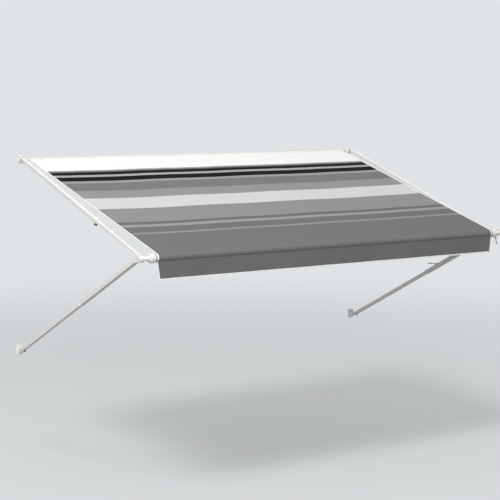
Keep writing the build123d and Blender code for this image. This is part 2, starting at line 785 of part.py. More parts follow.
def end_cap(teeth):
    """Cast cap of the roller with its hub, ribbed face and plug, and a ratchet wheel where teeth is true."""
    y, z = -roller_standoff, roller_along
    drum = x_rod(cap_radius, cap_start, tube_inset - seat_gap, y=y, z=z)
    rim = drum.edges().filter_by(GeomType.CIRCLE).sort_by(Axis.X)[0]
    drum = chamfer(rim, cap_round)
    hub = x_rod(cap_hub, cap_start - cap_hub_length, cap_start + overrun, y=y, z=z)
    hub_edge = hub.edges().filter_by(GeomType.CIRCLE).sort_by(Axis.X)[0]
    cap = drum + chamfer(hub_edge, overrun)
    cap += x_rod(anchor_radius, tube_inset - overrun, tube_inset + cap_plug_length, y=y, z=z)
    for rib in range(cap_ribs):
        turn = Pos(0, y, z) * Rot(rib * 360 / cap_ribs, 0, 0)
        slit = Box((tube_inset - cap_start) / 2, cap_rib_width, cap_rib_width)
        cap -= turn * Pos((cap_start + tube_inset) / 2, cap_radius, 0) * slit
    if teeth:
        wheel = Circle(ratchet_root)
        for tooth in range(ratchet_teeth):
            turn = Rot(0, 0, tooth * 360 / ratchet_teeth)
            point = ratchet_radius * cos(pi / ratchet_teeth)
            back = ratchet_root * sin(pi / ratchet_teeth)
            outline = Polyline((0, -back), (ratchet_radius, 0), (point, back), (0, back), close=True)
            wheel += turn * make_face(outline)
        start = cap_start - cap_hub_length + overrun
        cap += Pos(0, y, z) * side_plate(wheel, start, start + ratchet_width)
    cap -= x_rod(axle_radius + pin_gap, 0, 2 * tube_inset, y=y, z=z)
    return arm_frame * cap


def torsion_spring():
    """Coil pack of the return spring, plain because the tube hides it."""
    y, z = -roller_standoff, roller_along
    end = axle_end - anchor_length - cloth_gap
    sleeve = x_rod(spring_radius, tube_inset + cap_plug_length + cloth_gap, end, y=y, z=z)
    return arm_frame * (sleeve - x_rod(spring_bore, 0, axle_end, y=y, z=z))


# Roll lock
def lock_places():
    """Across and along place of the lock's pivot in the frame of the arm."""
    y, z = at_angle(lock_pivot_reach, lock_angle)
    return y - roller_standoff, z + roller_along


def lock_pin():
    """Ear clamped on the neck of the head, with the pin of the lock lever."""
    y, z = lock_places()
    wide = cap_start - cap_hub_length - cloth_gap
    neck = Pos(-roller_standoff, roller_along) * Circle(head_neck + lock_ear / 2)
    eye = Pos(y, z) * Circle(lock_eye)
    way = Pos(-roller_standoff, roller_along) * Circle(head_neck + seat_gap)
    ear = make_hull([*neck.edges(), *eye.edges()]) - way
    plate = side_plate(ear, wide - lock_ear, wide)
    pin = x_rod(lock_pin_radius, wide - overrun, cap_start - slide_gap, y=y, z=z)
    return arm_frame * (plate + pin)


def roll_lock():
    """Lock lever: an eye, a pawl nose just clear of the ratchet wheel, and a pull arm with a loop."""
    y, z = lock_places()
    toward = lock_angle + 180
    nose_length = lock_pivot_reach - ratchet_radius - cloth_gap
    eye = Circle(lock_eye)
    nose = Rot(0, 0, toward) * make_face(
        Polyline((0, -lock_eye / 2), (nose_length, 0), (0, lock_eye), close=True)
    )
    arm = Rot(0, 0, lock_angle) * Pos(lock_lever / 2, 0) * Rectangle(lock_lever, lock_eye)
    ring = Rot(0, 0, lock_angle) * Pos(lock_lever, 0) * Circle(lock_loop)
    ring_hole = Rot(0, 0, lock_angle) * Pos(lock_lever, 0) * Circle(lock_loop / 2)
    outline = eye + nose + arm + ring - ring_hole - Circle(lock_pin_radius + pin_gap)
    start = cap_start - cap_hub_length + overrun
    return arm_frame * Pos(0, y, z) * side_plate(outline, start, start + lock_width)


# Cloth
def canopy():
    """Canopy cloth, stretched from the mouth of the rail to the roller and round it to its groove."""
    mouth = rail_tube_radius + cloth_gap
    start_y, start_z = at_angle(mouth, line_angle)
    touch_angle = line_angle - 90
    touch_y, touch_z = at_angle(fabric_radius, touch_angle)
    straight = Line((rail_bead_y + start_y, rail_bead_z + start_z), (roller_y + touch_y, roller_z + touch_z))
    wrap = canopy_groove_angle - touch_angle
    curl = CenterArc((roller_y, roller_z), fabric_radius, touch_angle, wrap)
    strip = trace([straight, curl], fabric)
    return side_plate(strip, -fabric_width / 2, fabric_width / 2)


def valance():
    """Hanging edge strip with its doubled lower hem."""
    start_y, start_z = at_angle(fabric_radius, valance_groove_angle)
    out = Vector(*at_angle(1, valance_groove_angle))
    bend = JernArc((roller_y + start_y, roller_z + start_z), out, valance_bend, 270 - valance_groove_angle)
    low = roller_z - valance_drop
    end = bend @ 1
    drop = Line(end, (end.X, low))
    hem = Line((end.X, low), (end.X, low + hem_width))
    strip = trace([bend, drop], fabric) + trace([hem], fabric + hem_extra)
    sheet = side_plate(strip, -fabric_width / 2, fabric_width / 2)
    edge = fabric_width / 2
    high = end.Y
    slant = [(edge, high), (edge - valance_slant, low - overrun)]
    beyond = [(edge + overrun, low - overrun), (edge + overrun, high)]
    corner = make_face(Polyline(*slant, *beyond, close=True))
    wedge = Pos(0, end.X - valance_bend, 0) * Rot(90, 0, 0) * extrude(corner, -2 * valance_bend)
    return sheet - wedge - mirror(wedge, about=Plane.YZ)


# Writing of the pieces
def to_left(shape):
    """Left copy of a piece drawn about X = 0."""
    return Pos(-half_spacing, 0, 0) * shape


def to_right(shape):
    """Right copy of a piece, the mirror image of the left one."""
    return mirror(to_left(shape), about=Plane.YZ)


def write(name, shapes):
    """Write one node. A list is a group of separate solids."""
    pieces = shapes if isinstance(shapes, list) else [shapes]
    solids = [solid for piece in pieces for solid in piece.solids()]
    export_step(solids[0] if len(solids) == 1 else Compound(children=solids), f"parts/{name}.step")
    print(name, len(solids), round(sum(solid.volume for solid in solids)))


def as_list(shape):
    """A piece or a list of pieces as a list."""
    return shape if isinstance(shape, list) else [shape]


os.makedirs("parts", exist_ok=True)

paired = {
    "top_bracket": top_bracket(),
    "bottom_bracket": bottom_bracket(),
    "leg": leg(),
    "foot": foot(),
    "foot_pins": foot_pins(),
    "foot_latch": foot_latch(),
    "leg_glide": leg_glide(),
    "arm_channel": arm_channel(),
    "arm_collar": arm_collar(),
    "head": head(),
    "axle": axle(),
    "spring_anchor": spring_anchor(),
    "handle_bracket": handle_bracket(),
    "handle_pin": handle_pin(),
    "lift_handle": lift_handle(),
    "rafter_tube": rafter_tube(),
    "rafter_hinge": rafter_hinge(),
    "rafter_collar": rafter_collar(),
    "rafter_inner": rafter_inner(),
    "rafter_claw": rafter_claw(),
    "rafter_knob": rafter_knob(),
    "torsion_spring": torsion_spring(),
}
for name, piece in paired.items():
    write(f"left_{name}", [to_left(one) for one in as_list(piece)])
    write(f"right_{name}", [to_right(one) for one in as_list(piece)])

write("left_end_cap", to_left(end_cap(False)))
write("right_end_cap", to_right(end_cap(True)))
write("lock_pin", to_right(lock_pin()))
write("roll_lock", to_right(roll_lock()))
write("top_pins", [to_left(top_pin()), to_right(top_pin())])
write("bottom_pins", [to_left(bottom_pin()), to_right(bottom_pin())])
write("awning_rail", awning_rail())
write("rail_screws", rail_screws())
write("canopy_rail_bead", bead_in_rail())
write("roller_tube", roller_tube())
write("canopy_roller_bead", bead_in_groove(canopy_groove_angle))
write("valance_bead", bead_in_groove(valance_groove_angle))
write("canopy", canopy())
write("valance", valance())

print("arm", round(arm_reach, 3), "lean", round(arm_lean, 4), "travel", round(arm_travel, 3))
print("rafter", round(rafter_reach, 3), "lean", round(rafter_lean, 4), "travel", round(rafter_travel, 3))
print("roller axis", round(roller_y, 3), round(roller_z, 3), "cloth line", round(line_angle, 4))
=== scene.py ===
"""Roll out patio awning of a caravan, open, dressed over its CAD frame.

Metres, in the frame of the CAD model: +X along the wall, -Y out from the wall, +Z up, and the origin
at the middle of the back face of the awning rail.
"""

import json
import logging
import math
from collections.abc import Callable, Sequence
from dataclasses import asdict, dataclass, field, fields
from enum import Enum
from functools import partial

import bmesh
import bpy
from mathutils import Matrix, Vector


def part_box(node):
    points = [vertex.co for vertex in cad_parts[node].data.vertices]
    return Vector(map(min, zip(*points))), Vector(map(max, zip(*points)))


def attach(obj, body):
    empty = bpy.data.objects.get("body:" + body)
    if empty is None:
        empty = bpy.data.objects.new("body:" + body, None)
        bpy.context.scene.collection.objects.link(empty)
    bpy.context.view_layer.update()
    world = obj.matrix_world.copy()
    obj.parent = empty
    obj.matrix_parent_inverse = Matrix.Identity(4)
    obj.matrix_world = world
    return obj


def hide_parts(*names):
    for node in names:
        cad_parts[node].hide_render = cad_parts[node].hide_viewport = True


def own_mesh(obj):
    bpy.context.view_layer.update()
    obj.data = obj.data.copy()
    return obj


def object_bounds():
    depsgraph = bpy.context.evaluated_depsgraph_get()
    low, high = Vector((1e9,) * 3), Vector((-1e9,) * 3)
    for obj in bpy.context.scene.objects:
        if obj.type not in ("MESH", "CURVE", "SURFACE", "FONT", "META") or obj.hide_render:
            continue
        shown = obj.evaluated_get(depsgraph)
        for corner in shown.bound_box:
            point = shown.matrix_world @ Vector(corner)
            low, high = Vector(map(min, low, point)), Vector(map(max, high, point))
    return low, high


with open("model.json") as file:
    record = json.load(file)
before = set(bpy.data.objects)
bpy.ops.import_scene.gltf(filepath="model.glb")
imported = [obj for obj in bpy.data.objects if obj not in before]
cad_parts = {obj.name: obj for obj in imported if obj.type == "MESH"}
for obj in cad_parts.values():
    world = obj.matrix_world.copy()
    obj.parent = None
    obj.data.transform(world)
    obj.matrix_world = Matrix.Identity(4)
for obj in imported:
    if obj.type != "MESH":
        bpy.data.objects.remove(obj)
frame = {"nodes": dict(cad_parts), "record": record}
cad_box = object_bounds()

LOG = logging.getLogger("awning")

Pair = tuple[float, float]
Point = tuple[float, float, float]
Colour = tuple[float, float, float, float]
Material = bpy.types.Material
Node = bpy.types.Node
NodeTree = bpy.types.NodeTree
Object = bpy.types.Object
Socket = bpy.types.NodeSocket
Edges = Callable[[float], Pair]
Lift = Callable[[float, float], float]

# Types of nodes and sockets that come up often
BUMP, MATH, MIX, NOISE = "ShaderNodeBump", "ShaderNodeMath", "ShaderNodeMix", "ShaderNodeTexNoise"
COORDINATES, RANGE, VECTOR_MATH = "ShaderNodeTexCoord", "ShaderNodeMapRange", "ShaderNodeVectorMath"
ALIGN, COMBINE = "FunctionNodeAlignRotationToVector", "ShaderNodeCombineXYZ"
TRANSFORM, ON_POINTS = "GeometryNodeTransform", "GeometryNodeInstanceOnPoints"
FLOAT, INTEGER, VECTOR = "NodeSocketFloat", "NodeSocketInt", "NodeSocketVector"

# Settings of a node that mixes colours: input 0 is the share of input 7 over input 6
COLOURS = {"data_type": "RGBA"}
# Settings of a node that looks round it: few rays are enough for a soft mask
FEW_RAYS = {"samples": 4}
# Settings of a node that reckons with numbers or vectors
MAXIMUM = {"operation": "MAXIMUM"}
MULTIPLY = {"operation": "MULTIPLY"}

# Edges of a sheet sharper than this many degrees stay sharp
SHARP_DEGREES = 50
# Angle of straight down, from +Y towards +Z
DOWN = 1.5 * math.pi


class Space(Enum):
    """Which coordinates a pattern is laid out in."""

    OBJECT = "Object"
    UV = "UV"


class Side(Enum):
    """The two ends of the awning, with the sign of their X."""

    LEFT = -1
    RIGHT = 1

    def node(self, name: str) -> str:
        """Name of this side's node or body."""
        return f"{self.name.lower()}_{name}"


# Colour and node helpers
def linear(hex_colour: str) -> Colour:
    """Turn an sRGB hex colour into linear values.

    Args:
        hex_colour: Six hex digits, such as "E8E8E6".

    Returns:
        Linear red, green and blue, and an alpha of 1.
    """
    parts = [int(hex_colour[i : i + 2], 16) / 255 for i in (0, 2, 4)]
    red, green, blue = (c / 12.92 if c <= 0.04045 else ((c + 0.055) / 1.055) ** 2.4 for c in parts)
    return (red, green, blue, 1.0)


def feed(node: Node, **links: object) -> None:
    """Set the inputs of a node.

    Args:
        node: The node.
        links: Input name, with underscores for spaces, or its number as "i0", to a value, an output
            socket, or another node, whose first output in use is taken.
    """
    for name, value in links.items():
        key = int(name[1:]) if name[0] == "i" and name[1:].isdigit() else name.replace("_", " ")
        if isinstance(value, Node):
            value = next(output for output in value.outputs if output.enabled)
        if isinstance(value, Socket):
            node.id_data.links.new(value, node.inputs[key])
        else:
            node.inputs[key].default_value = value


def add_node(tree: NodeTree, kind: str, settings: dict | None = None, **links: object) -> Node:
    """Add a node with its settings and links.

    Args:
        tree: The tree that gets the node.
        kind: The node's type name.
        settings: Properties of the node itself.
        links: Its inputs, as feed takes them.

    Returns:
        The new node.
    """
    node = tree.nodes.new(kind)
    for name, value in (settings or {}).items():
        setattr(node, name, value)
    feed(node, **links)
    return node


def levels(source: Pair, target: Pair = (0.0, 1.0)) -> dict[str, float]:
    """Inputs of a Map Range node.

    Args:
        source: The values between which it works.
        target: What they become.

    Returns:
        Each input's value by its name.
    """
    return {"From_Min": source[0], "From_Max": source[1], "To_Min": target[0], "To_Max": target[1]}


def start_material(name: str) -> tuple[Material, NodeTree, Node]:
    """Start a material.

    Args:
        name: Its name.

    Returns:
        The material, its tree and its shader.
    """
    mat = bpy.data.materials.new(name)
    mat.use_nodes = True
    return mat, mat.node_tree, mat.node_tree.nodes["Principled BSDF"]


# Noise of the finishes, on coordinates in metres
STAINS = {"Scale": 7.0, "Detail": 5.0, "Roughness": 0.6}  # dust on a coat, 140 mm apart
WEAR = {"Scale": 55.0, "Detail": 3.0}  # breaks in a rubbed edge, 18 mm apart
SCUFFS = {"Scale": 40.0, "Detail": 4.0}  # scuffs of plastic, 25 mm apart
CLOUDS = {"Scale": 120.0, "Detail": 3.0}  # clouds of plating, 8 mm apart
WEATHER = {"Scale": 1.6, "Detail": 5.0, "Roughness": 0.6}  # faded cloth, 600 mm apart
MM_PER_METRE = 1000


# Finishes
@dataclass(frozen=True)
class Coated:
    """Powder coat or paint on metal, with faint orange peel, road dust, painted shade in its corners and
    rubbed edges.

    Attributes:
        name: Name of the material.
        colour: Colour of the coat.
        dust: Colour of the dust in it, also the colour of the painted shade in corners.
        primer: Colour under the coat.
        dust_amount: How much of the dust shows on open faces.
        film: Noise levels between which it comes up.
        crevice: How far corners darken towards the dust colour: painted shade, with dust caught there as
            well.
        corner: Openness between which a corner's painted shade and dust thin out.
        corner_reach: How far they reach from a corner.
        rubbed: How far edges are rubbed towards the primer.
        edge: Likeness of rounded and flat normals between which an edge is rubbed.
        edge_radius: Radius of the rounded normals.
        breaks: Noise levels between which a rubbed edge breaks up.
        roughness: Roughness of the coat.
        gloss: Noise levels between which it gets duller.
        gloss_change: How much shinier and how much duller it gets.
        peel_mm: Wavelength of the orange peel in millimetres.
        peel_depth: Strength of the orange peel.
        peel_height: Height of the orange peel at full strength.
    """

    name: str
    colour: str
    dust: str = "B7B2A6"
    primer: str = "A3A4A4"
    dust_amount: float = 0.10
    film: Pair = (0.42, 0.78)
    crevice: float = 0.45
    corner: Pair = (0.35, 0.9)
    corner_reach: float = 0.012
    rubbed: float = 0.30
    edge: Pair = (0.80, 0.97)
    edge_radius: float = 0.0015
    breaks: Pair = (0.45, 0.62)
    roughness: float = 0.34
    gloss: Pair = (0.3, 0.7)
    gloss_change: Pair = (-0.05, 0.08)
    peel_mm: float = 3.0
    peel_depth: float = 0.02
    peel_height: float = 0.0004

    def material(self) -> Material:
        """Build the material.

        Returns:
            The material.
        """
        mat, tree, shader = start_material(self.name)
        dust = linear(self.dust)
        place = add_node(tree, COORDINATES).outputs[Space.OBJECT.value]
        stains = add_node(tree, NOISE, Vector=place, **STAINS)
        film = add_node(tree, RANGE, Value=stains, **levels(self.film, (0.0, self.dust_amount)))
        coat = add_node(tree, MIX, COLOURS, i0=film, i6=linear(self.colour), i7=dust)
        # Ambient occlusion darkens corners towards the dust colour: painted shade, with dust caught there as
        # well
        open_air = add_node(tree, "ShaderNodeAmbientOcclusion", FEW_RAYS, Distance=self.corner_reach)
        corner_dust_and_shade_share = add_node(
            tree, RANGE, Value=open_air.outputs["AO"], **levels(self.corner, (self.crevice, 0.0))
        )
        dusty_and_shaded = add_node(tree, MIX, COLOURS, i0=corner_dust_and_shade_share, i6=coat, i7=dust)
        worn = add_node(
            tree, MIX, COLOURS, i0=self.edge_mask(tree, place), i6=dusty_and_shaded, i7=linear(self.primer)
        )
        shiny, dull = (self.roughness + change for change in self.gloss_change)
        gloss = add_node(tree, RANGE, Value=stains, **levels(self.gloss, (shiny, dull)))
        peel = add_node(tree, NOISE, Vector=place, Scale=MM_PER_METRE / self.peel_mm, Detail=2.0)
        bump = add_node(tree, BUMP, Height=peel, Strength=self.peel_depth, Distance=self.peel_height)
        feed(shader, Base_Color=worn, Roughness=gloss, Normal=bump)
        return mat

    def edge_mask(self, tree: NodeTree, place: Socket) -> Node:
        """Find the outer edges, where hands and straps rub the coat.

        Args:
            tree: The tree of the material.
            place: Coordinates of the noise that breaks the edge up.

        Returns:
            The node that gives the share of rubbed coat.
        """
        rounded = add_node(tree, "ShaderNodeBevel", FEW_RAYS, Radius=self.edge_radius)
        flat = add_node(tree, "ShaderNodeNewGeometry").outputs["Normal"]
        alike = add_node(tree, VECTOR_MATH, {"operation": "DOT_PRODUCT"}, i0=rounded, i1=flat)
        edge = add_node(tree, RANGE, Value=alike, **levels(self.edge, (self.rubbed, 0.0)))
        patchy = add_node(tree, NOISE, Vector=place, **WEAR)
        broken = add_node(tree, RANGE, Value=patchy, **levels(self.breaks))
        return add_node(tree, MATH, MULTIPLY, i0=edge, i1=broken)


@dataclass(frozen=True)
class Moulded:
    """Moulded plastic with a fine spark grain.

    Attributes:
        name: Name of the material.
        colour: Colour of the plastic.
        scuff: Colour of its scuffs.
        roughness: Roughness of the surface.
        grain_mm: Size of the grain in millimetres. Real grain is about 0.2 mm, drawn coarser so that
            it shows.
        grain_depth: Strength of the grain.
        grain_height: Height of the grain at full strength.
        scuffed: How much of the scuffs shows.
        marks: Noise levels between which they come up.
    """

    name: str
    colour: str
    scuff: str = "8A8A88"
    roughness: float = 0.5
    grain_mm: float = 1.2
    grain_depth: float = 0.12
    grain_height: float = 0.0002
    scuffed: float = 0.2
    marks: Pair = (0.5, 0.9)

    def material(self) -> Material:
        """Build the material.

        Returns:
            The material.
        """
        mat, tree, shader = start_material(self.name)
        place = add_node(tree, COORDINATES).outputs[Space.OBJECT.value]
        noise = add_node(tree, NOISE, Vector=place, **SCUFFS)
        share = add_node(tree, RANGE, Value=noise, **levels(self.marks, (0.0, self.scuffed)))
        tint = add_node(tree, MIX, COLOURS, i0=share, i6=linear(self.colour), i7=linear(self.scuff))
        grain = add_node(tree, "ShaderNodeTexVoronoi", Vector=place, Scale=MM_PER_METRE / self.grain_mm)
        bump = add_node(tree, BUMP, Height=grain, Strength=self.grain_depth, Distance=self.grain_height)
        feed(shader, Base_Color=tint, Roughness=self.roughness, Normal=bump)
        return mat


@dataclass(frozen=True)
class Plated:
    """Zinc plated or bare steel, cloudy where it has been handled.

    Attributes:
        name: Name of the material.
        colour: Colour of the metal.
        cloud: Colour of the clouded plating.
        roughness: Roughness of the metal.
        gloss_change: How much shinier and how much duller it gets.
    """

    name: str
    colour: str = "C4C5C7"
    cloud: str = "8E9093"
    roughness: float = 0.38
    gloss_change: Pair = (-0.08, 0.1)

    def material(self) -> Material:
        """Build the material.

        Returns:
            The material.
        """
        mat, tree, shader = start_material(self.name)
        place = add_node(tree, COORDINATES).outputs[Space.OBJECT.value]
        cloudy = add_node(tree, NOISE, Vector=place, **CLOUDS)
        metal = add_node(tree, MIX, COLOURS, i0=cloudy, i6=linear(self.colour), i7=linear(self.cloud))
        shiny, dull = (self.roughness + change for change in self.gloss_change)
        rough = add_node(tree, RANGE, Value=cloudy, **levels((0.0, 1.0), (shiny, dull)))
        feed(shader, Metallic=1.0, Base_Color=metal, Roughness=rough)
        return mat


@dataclass(frozen=True)
class Stripe:
    """One printed stripe of the canopy.

    Attributes:
        start_mm: Distance of its upper edge from the rail's mouth, down the slope.
        colour: Its colour.
    """

    start_mm: float
    colour: str


@dataclass(frozen=True)
class Woven:
    """Coated awning cloth, plain woven, with stripes printed across the slope.

    The UV runs in metres: U along the rail, V down the slope.

    Attributes:
        name: Name of the material.
        stripes: Stripes from the rail down.
        faded: Colour that sun and dust pull the cloth towards.
        fade_share: How far they do.
        thread_mm: Pitch of the threads. Real ones lie 0.5 mm apart, drawn coarser so that they show.
        edge_mm: Width of the soft edge of a printed stripe.
        creases: Strength of the faint folds across the cloth.
        fading: Noise levels between which the cloth fades.
        roughness: Roughness of the cloth.
        shine: Specular level, low for a matt cloth.
        thread_depth: Strength of the threads.
        thread_height: Height of the threads at full strength.
        crease_scale: Scale of the folds along the rail, down the slope and off it.
        crease_height: Height of the folds at full strength.
    """

    name: str
    stripes: tuple[Stripe, ...]
    faded: str = "A9A9A8"
    fade_share: float = 0.02
    thread_mm: float = 1.4
    edge_mm: float = 3.0
    creases: float = 0.22
    fading: Pair = (0.35, 0.75)
    roughness: float = 0.72
    shine: float = 0.05
    thread_depth: float = 0.2
    thread_height: float = 0.0003
    crease_scale: Point = (6.0, 0.7, 1.0)
    crease_height: float = 0.006

    def printed(self, tree: NodeTree, down: Socket) -> Node | Colour:
        """Lay the stripes over each other.

        Args:
            tree: The tree of the material.
            down: Distance down the slope in metres.

        Returns:
            The node of the printed colour, or the colour itself where there is one stripe.
        """
        colour: Node | Colour = linear(self.stripes[0].colour)
        soft = self.edge_mm / 2
        for stripe in self.stripes[1:]:
            start, end = ((stripe.start_mm + way * soft) / MM_PER_METRE for way in (-1, 1))
            edge = add_node(tree, RANGE, Value=down, **levels((start, end)))
            colour = add_node(tree, MIX, COLOURS, i0=edge, i6=colour, i7=linear(stripe.colour))
        return colour

    def material(self) -> Material:
        """Build the material.

        Returns:
            The material.
        """
        mat, tree, shader = start_material(self.name)
        uv = add_node(tree, COORDINATES).outputs[Space.UV.value]
        place = add_node(tree, COORDINATES).outputs[Space.OBJECT.value]
        down = add_node(tree, "ShaderNodeSeparateXYZ", Vector=uv).outputs["Y"]
        cloudy = add_node(tree, NOISE, Vector=place, **WEATHER)
        weather = add_node(tree, RANGE, Value=cloudy, **levels(self.fading, (0.0, self.fade_share)))
        faded = add_node(
            tree, MIX, COLOURS, i0=weather, i6=self.printed(tree, down), i7=linear(self.faded)
        )
        relief = self.relief(tree, uv)
        feed(shader, Base_Color=faded, Roughness=self.roughness, Specular_IOR_Level=self.shine, Normal=relief)
        return mat

    def relief(self, tree: NodeTree, uv: Socket) -> Node:
        """Raise the threads and the faint creases.

        Args:
            tree: The tree of the material.
            uv: Place on the cloth in metres.

        Returns:
            The node of the bent normal.
        """
        # A wave texture has a period of 2 pi / 20 at a scale of 1
        scale = math.tau / 20 * MM_PER_METRE / self.thread_mm
        threads = add_node(tree, MATH, MAXIMUM)
        for i, axis in enumerate("XY"):
            bands = add_node(tree, "ShaderNodeTexWave", {"bands_direction": axis}, Vector=uv, Scale=scale)
            feed(threads, **{f"i{i}": bands.outputs["Fac"]})
        woven = add_node(tree, BUMP, Height=threads, Strength=self.thread_depth, Distance=self.thread_height)
        drawn = add_node(tree, "ShaderNodeMapping", Vector=uv, Scale=self.crease_scale)
        folds = add_node(tree, NOISE, Vector=drawn, Scale=1.0, Detail=3.0)
        return add_node(
            tree, BUMP, Height=folds, Strength=self.creases, Distance=self.crease_height, Normal=woven
        )


# Printed stripes of the canopy, measured down the slope
STRIPES = (
    Stripe(0, "F8F8F7"),
    Stripe(352, "A6A6A6"),
    Stripe(386, "585859"),
    Stripe(418, "0D0D0E"),
    Stripe(488, "AEAEAE"),
    Stripe(544, "0D0D0E"),
    Stripe(660, "9E9E9E"),
    Stripe(720, "7C7C7D"),
    Stripe(933, "969696"),
    Stripe(1138, "D5D5D6"),
    Stripe(1424, "929292"),
    Stripe(1776, "707070"),
    Stripe(1843, "9C9C9C"),
    Stripe(1905, "737373"),
    Stripe(2040, "949494"),
    Stripe(2080, "757576"),
)


def built(finish: Coated | Moulded | Plated | Woven) -> Material:
    """Field of Finishes that builds its material when the finishes are made."""
    return field(default_factory=finish.material)


@dataclass
class Finishes:
    """All materials of the awning, built once."""

    # Aluminium extrusions of arms, rafters and rail: smooth satin white coat
    extrusion: Material = built(Coated("white_powder_coat_extrusion", "F3F2ED"))
    # Aluminium castings: the same coat over a slightly rough skin
    casting: Material = built(
        Coated("white_powder_coat_casting", "F0EFEB", roughness=0.42, peel_mm=1.6, peel_depth=0.05)
    )
    # Roll formed steel tube: dark grey paint, chosen so that the gap between canopy and valance shows as a
    # dark line beside the cloth: painted shade of that gap
    tube: Material = built(Coated("grey_paint_steel_tube", "5B5B5E", rubbed=0.1, roughness=0.4))
    # Zinc plated steel of pins, ears and the lock lever: soft bright metal
    steel: Material = built(Plated("zinc_plated_steel"))
    # Screw and rivet heads: white paint on steel, a little glossier than the castings, with more painted
    # shade and dust in their corners
    painted_screw: Material = built(
        Coated("white_paint_screw_head", "EFEEE9", crevice=0.6, roughness=0.3)
    )
    # Oiled spring wire: dark, with a dull shine
    spring: Material = built(Plated("oiled_spring_steel", "55565A", "3C3D40", 0.45))
    # Glass filled nylon of latches and knobs: black and matt
    black: Material = built(Moulded("black_glass_filled_nylon", "1C1C1E"))
    # Nylon of handles, glides and guides: warm white with a soft shine
    nylon: Material = built(Moulded("white_nylon", "F3F2EC", "CFCDC6", 0.42))
    # Coated polyester of the canopy: matt, with printed stripes
    canopy: Material = built(Woven("striped_awning_cloth", STRIPES))
    # The same cloth for the valance, drawn darker: the darker colour is painted shade of the upright strip,
    # which gets less light than the canopy
    valance: Material = built(
        Woven("dark_valance_cloth", (Stripe(0, "6E6E6F"),), "7E7E7F", 0.30, creases=0.5)
    )
    # Woven edge binding: pale and slightly ribbed
    binding: Material = built(Woven("pale_edge_binding", (Stripe(0, "F4F3EE"),), "D8D6CF", 0.3, 1.0))
    # Bonded polyester sewing thread: smooth and pale grey
    thread: Material = built(Moulded("pale_sewing_thread", "DCDBD6", "C9C8C3", 0.6, 0.6))
    # Extruded bead of the cloth edges: glossy polymer
    bead: Material = built(Moulded("extruded_polymer_bead", "D9D9D6", "B9B9B6", 0.4))


# Mesh helpers
def add_object(name: str, data: bpy.types.ID) -> Object:
    """Add an object to the scene, at the origin.

    Args:
        name: Name of the object.
        data: Its mesh, light or camera.

    Returns:
        The object.
    """
    obj = bpy.data.objects.new(name, data)
    bpy.context.scene.collection.objects.link(obj)
    return obj


def mesh_object(
    name: str, verts: Sequence[Point], faces: Sequence[tuple[int, ...]], mat: Material
) -> Object:
    """Make a mesh object at the origin.

    Args:
        name: Name of the piece.
        verts: Corner points in the awning's frame.
        faces: Faces as corner numbers.
        mat: Material of the piece.

    Returns:
        The object, linked to the scene.
    """
    mesh = bpy.data.meshes.new(name)
    mesh.from_pydata(list(verts), [], list(faces))
    mesh.update()
    mesh.materials.append(mat)
    return add_object(name, mesh)


def turn_outwards(obj: Object) -> None:
    """Turn all faces of a closed mesh outwards.

    Args:
        obj: The mesh object.
    """
    mesh = bmesh.new()
    mesh.from_mesh(obj.data)
    bmesh.ops.recalc_face_normals(mesh, faces=mesh.faces)
    mesh.to_mesh(obj.data)
    mesh.free()


def middle(node: str) -> Vector:
    """Point halfway between the lowest and the highest corner of a CAD node's box."""
    low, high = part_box(node)
    return (Vector(low) + Vector(high)) / 2


def roller_axis() -> Pair:
    """Y and Z of the roller's axis."""
    return tuple(middle("roller_tube").yz)


def around(centre: Pair, radius: float, angle: float) -> Pair:
    """Point of a circle about an axis that runs along the rail.

    Args:
        centre: Middle of the circle.
        radius: Its radius.
        angle: Angle from +Y towards +Z, in radians.

    Returns:
        The point (y, z).
    """
    return (centre[0] + radius * math.cos(angle), centre[1] + radius * math.sin(angle))


# Repeated small pieces
@dataclass(frozen=True)
class Head:
    """Head of a screw or rivet.

    Attributes:
        sides: Number of sides, 6 for a hexagon.
        radius: Radius at its foot.
        top: Radius at its top.
        height: Height above its washer.
        washer: Radius of the washer.
        washer_height: Thickness of the washer.
    """

    sides: int
    radius: float
    top: float
    height: float
    washer: float
    washer_height: float


# Hexagon lag screw, self drilling screw and pop rivet, by their usual sizes
LAG_HEAD = Head(6, 0.0056, 0.0050, 0.0040, 0.0070, 0.0010)
RAIL_HEAD = Head(18, 0.0036, 0.0022, 0.0016, 0.0040, 0.0004)
RIVET_HEAD = Head(20, 0.0040, 0.0022, 0.0014, 0.0042, 0.0003)


def head_inputs() -> dict[str, str]:
    """Inputs of the tree that sets heads: the sizes of a head and the way it faces."""
    sizes = {size.name.replace("_", " ").title(): FLOAT for size in fields(Head)}
    return {**sizes, "Sides": INTEGER, "Facing": VECTOR}


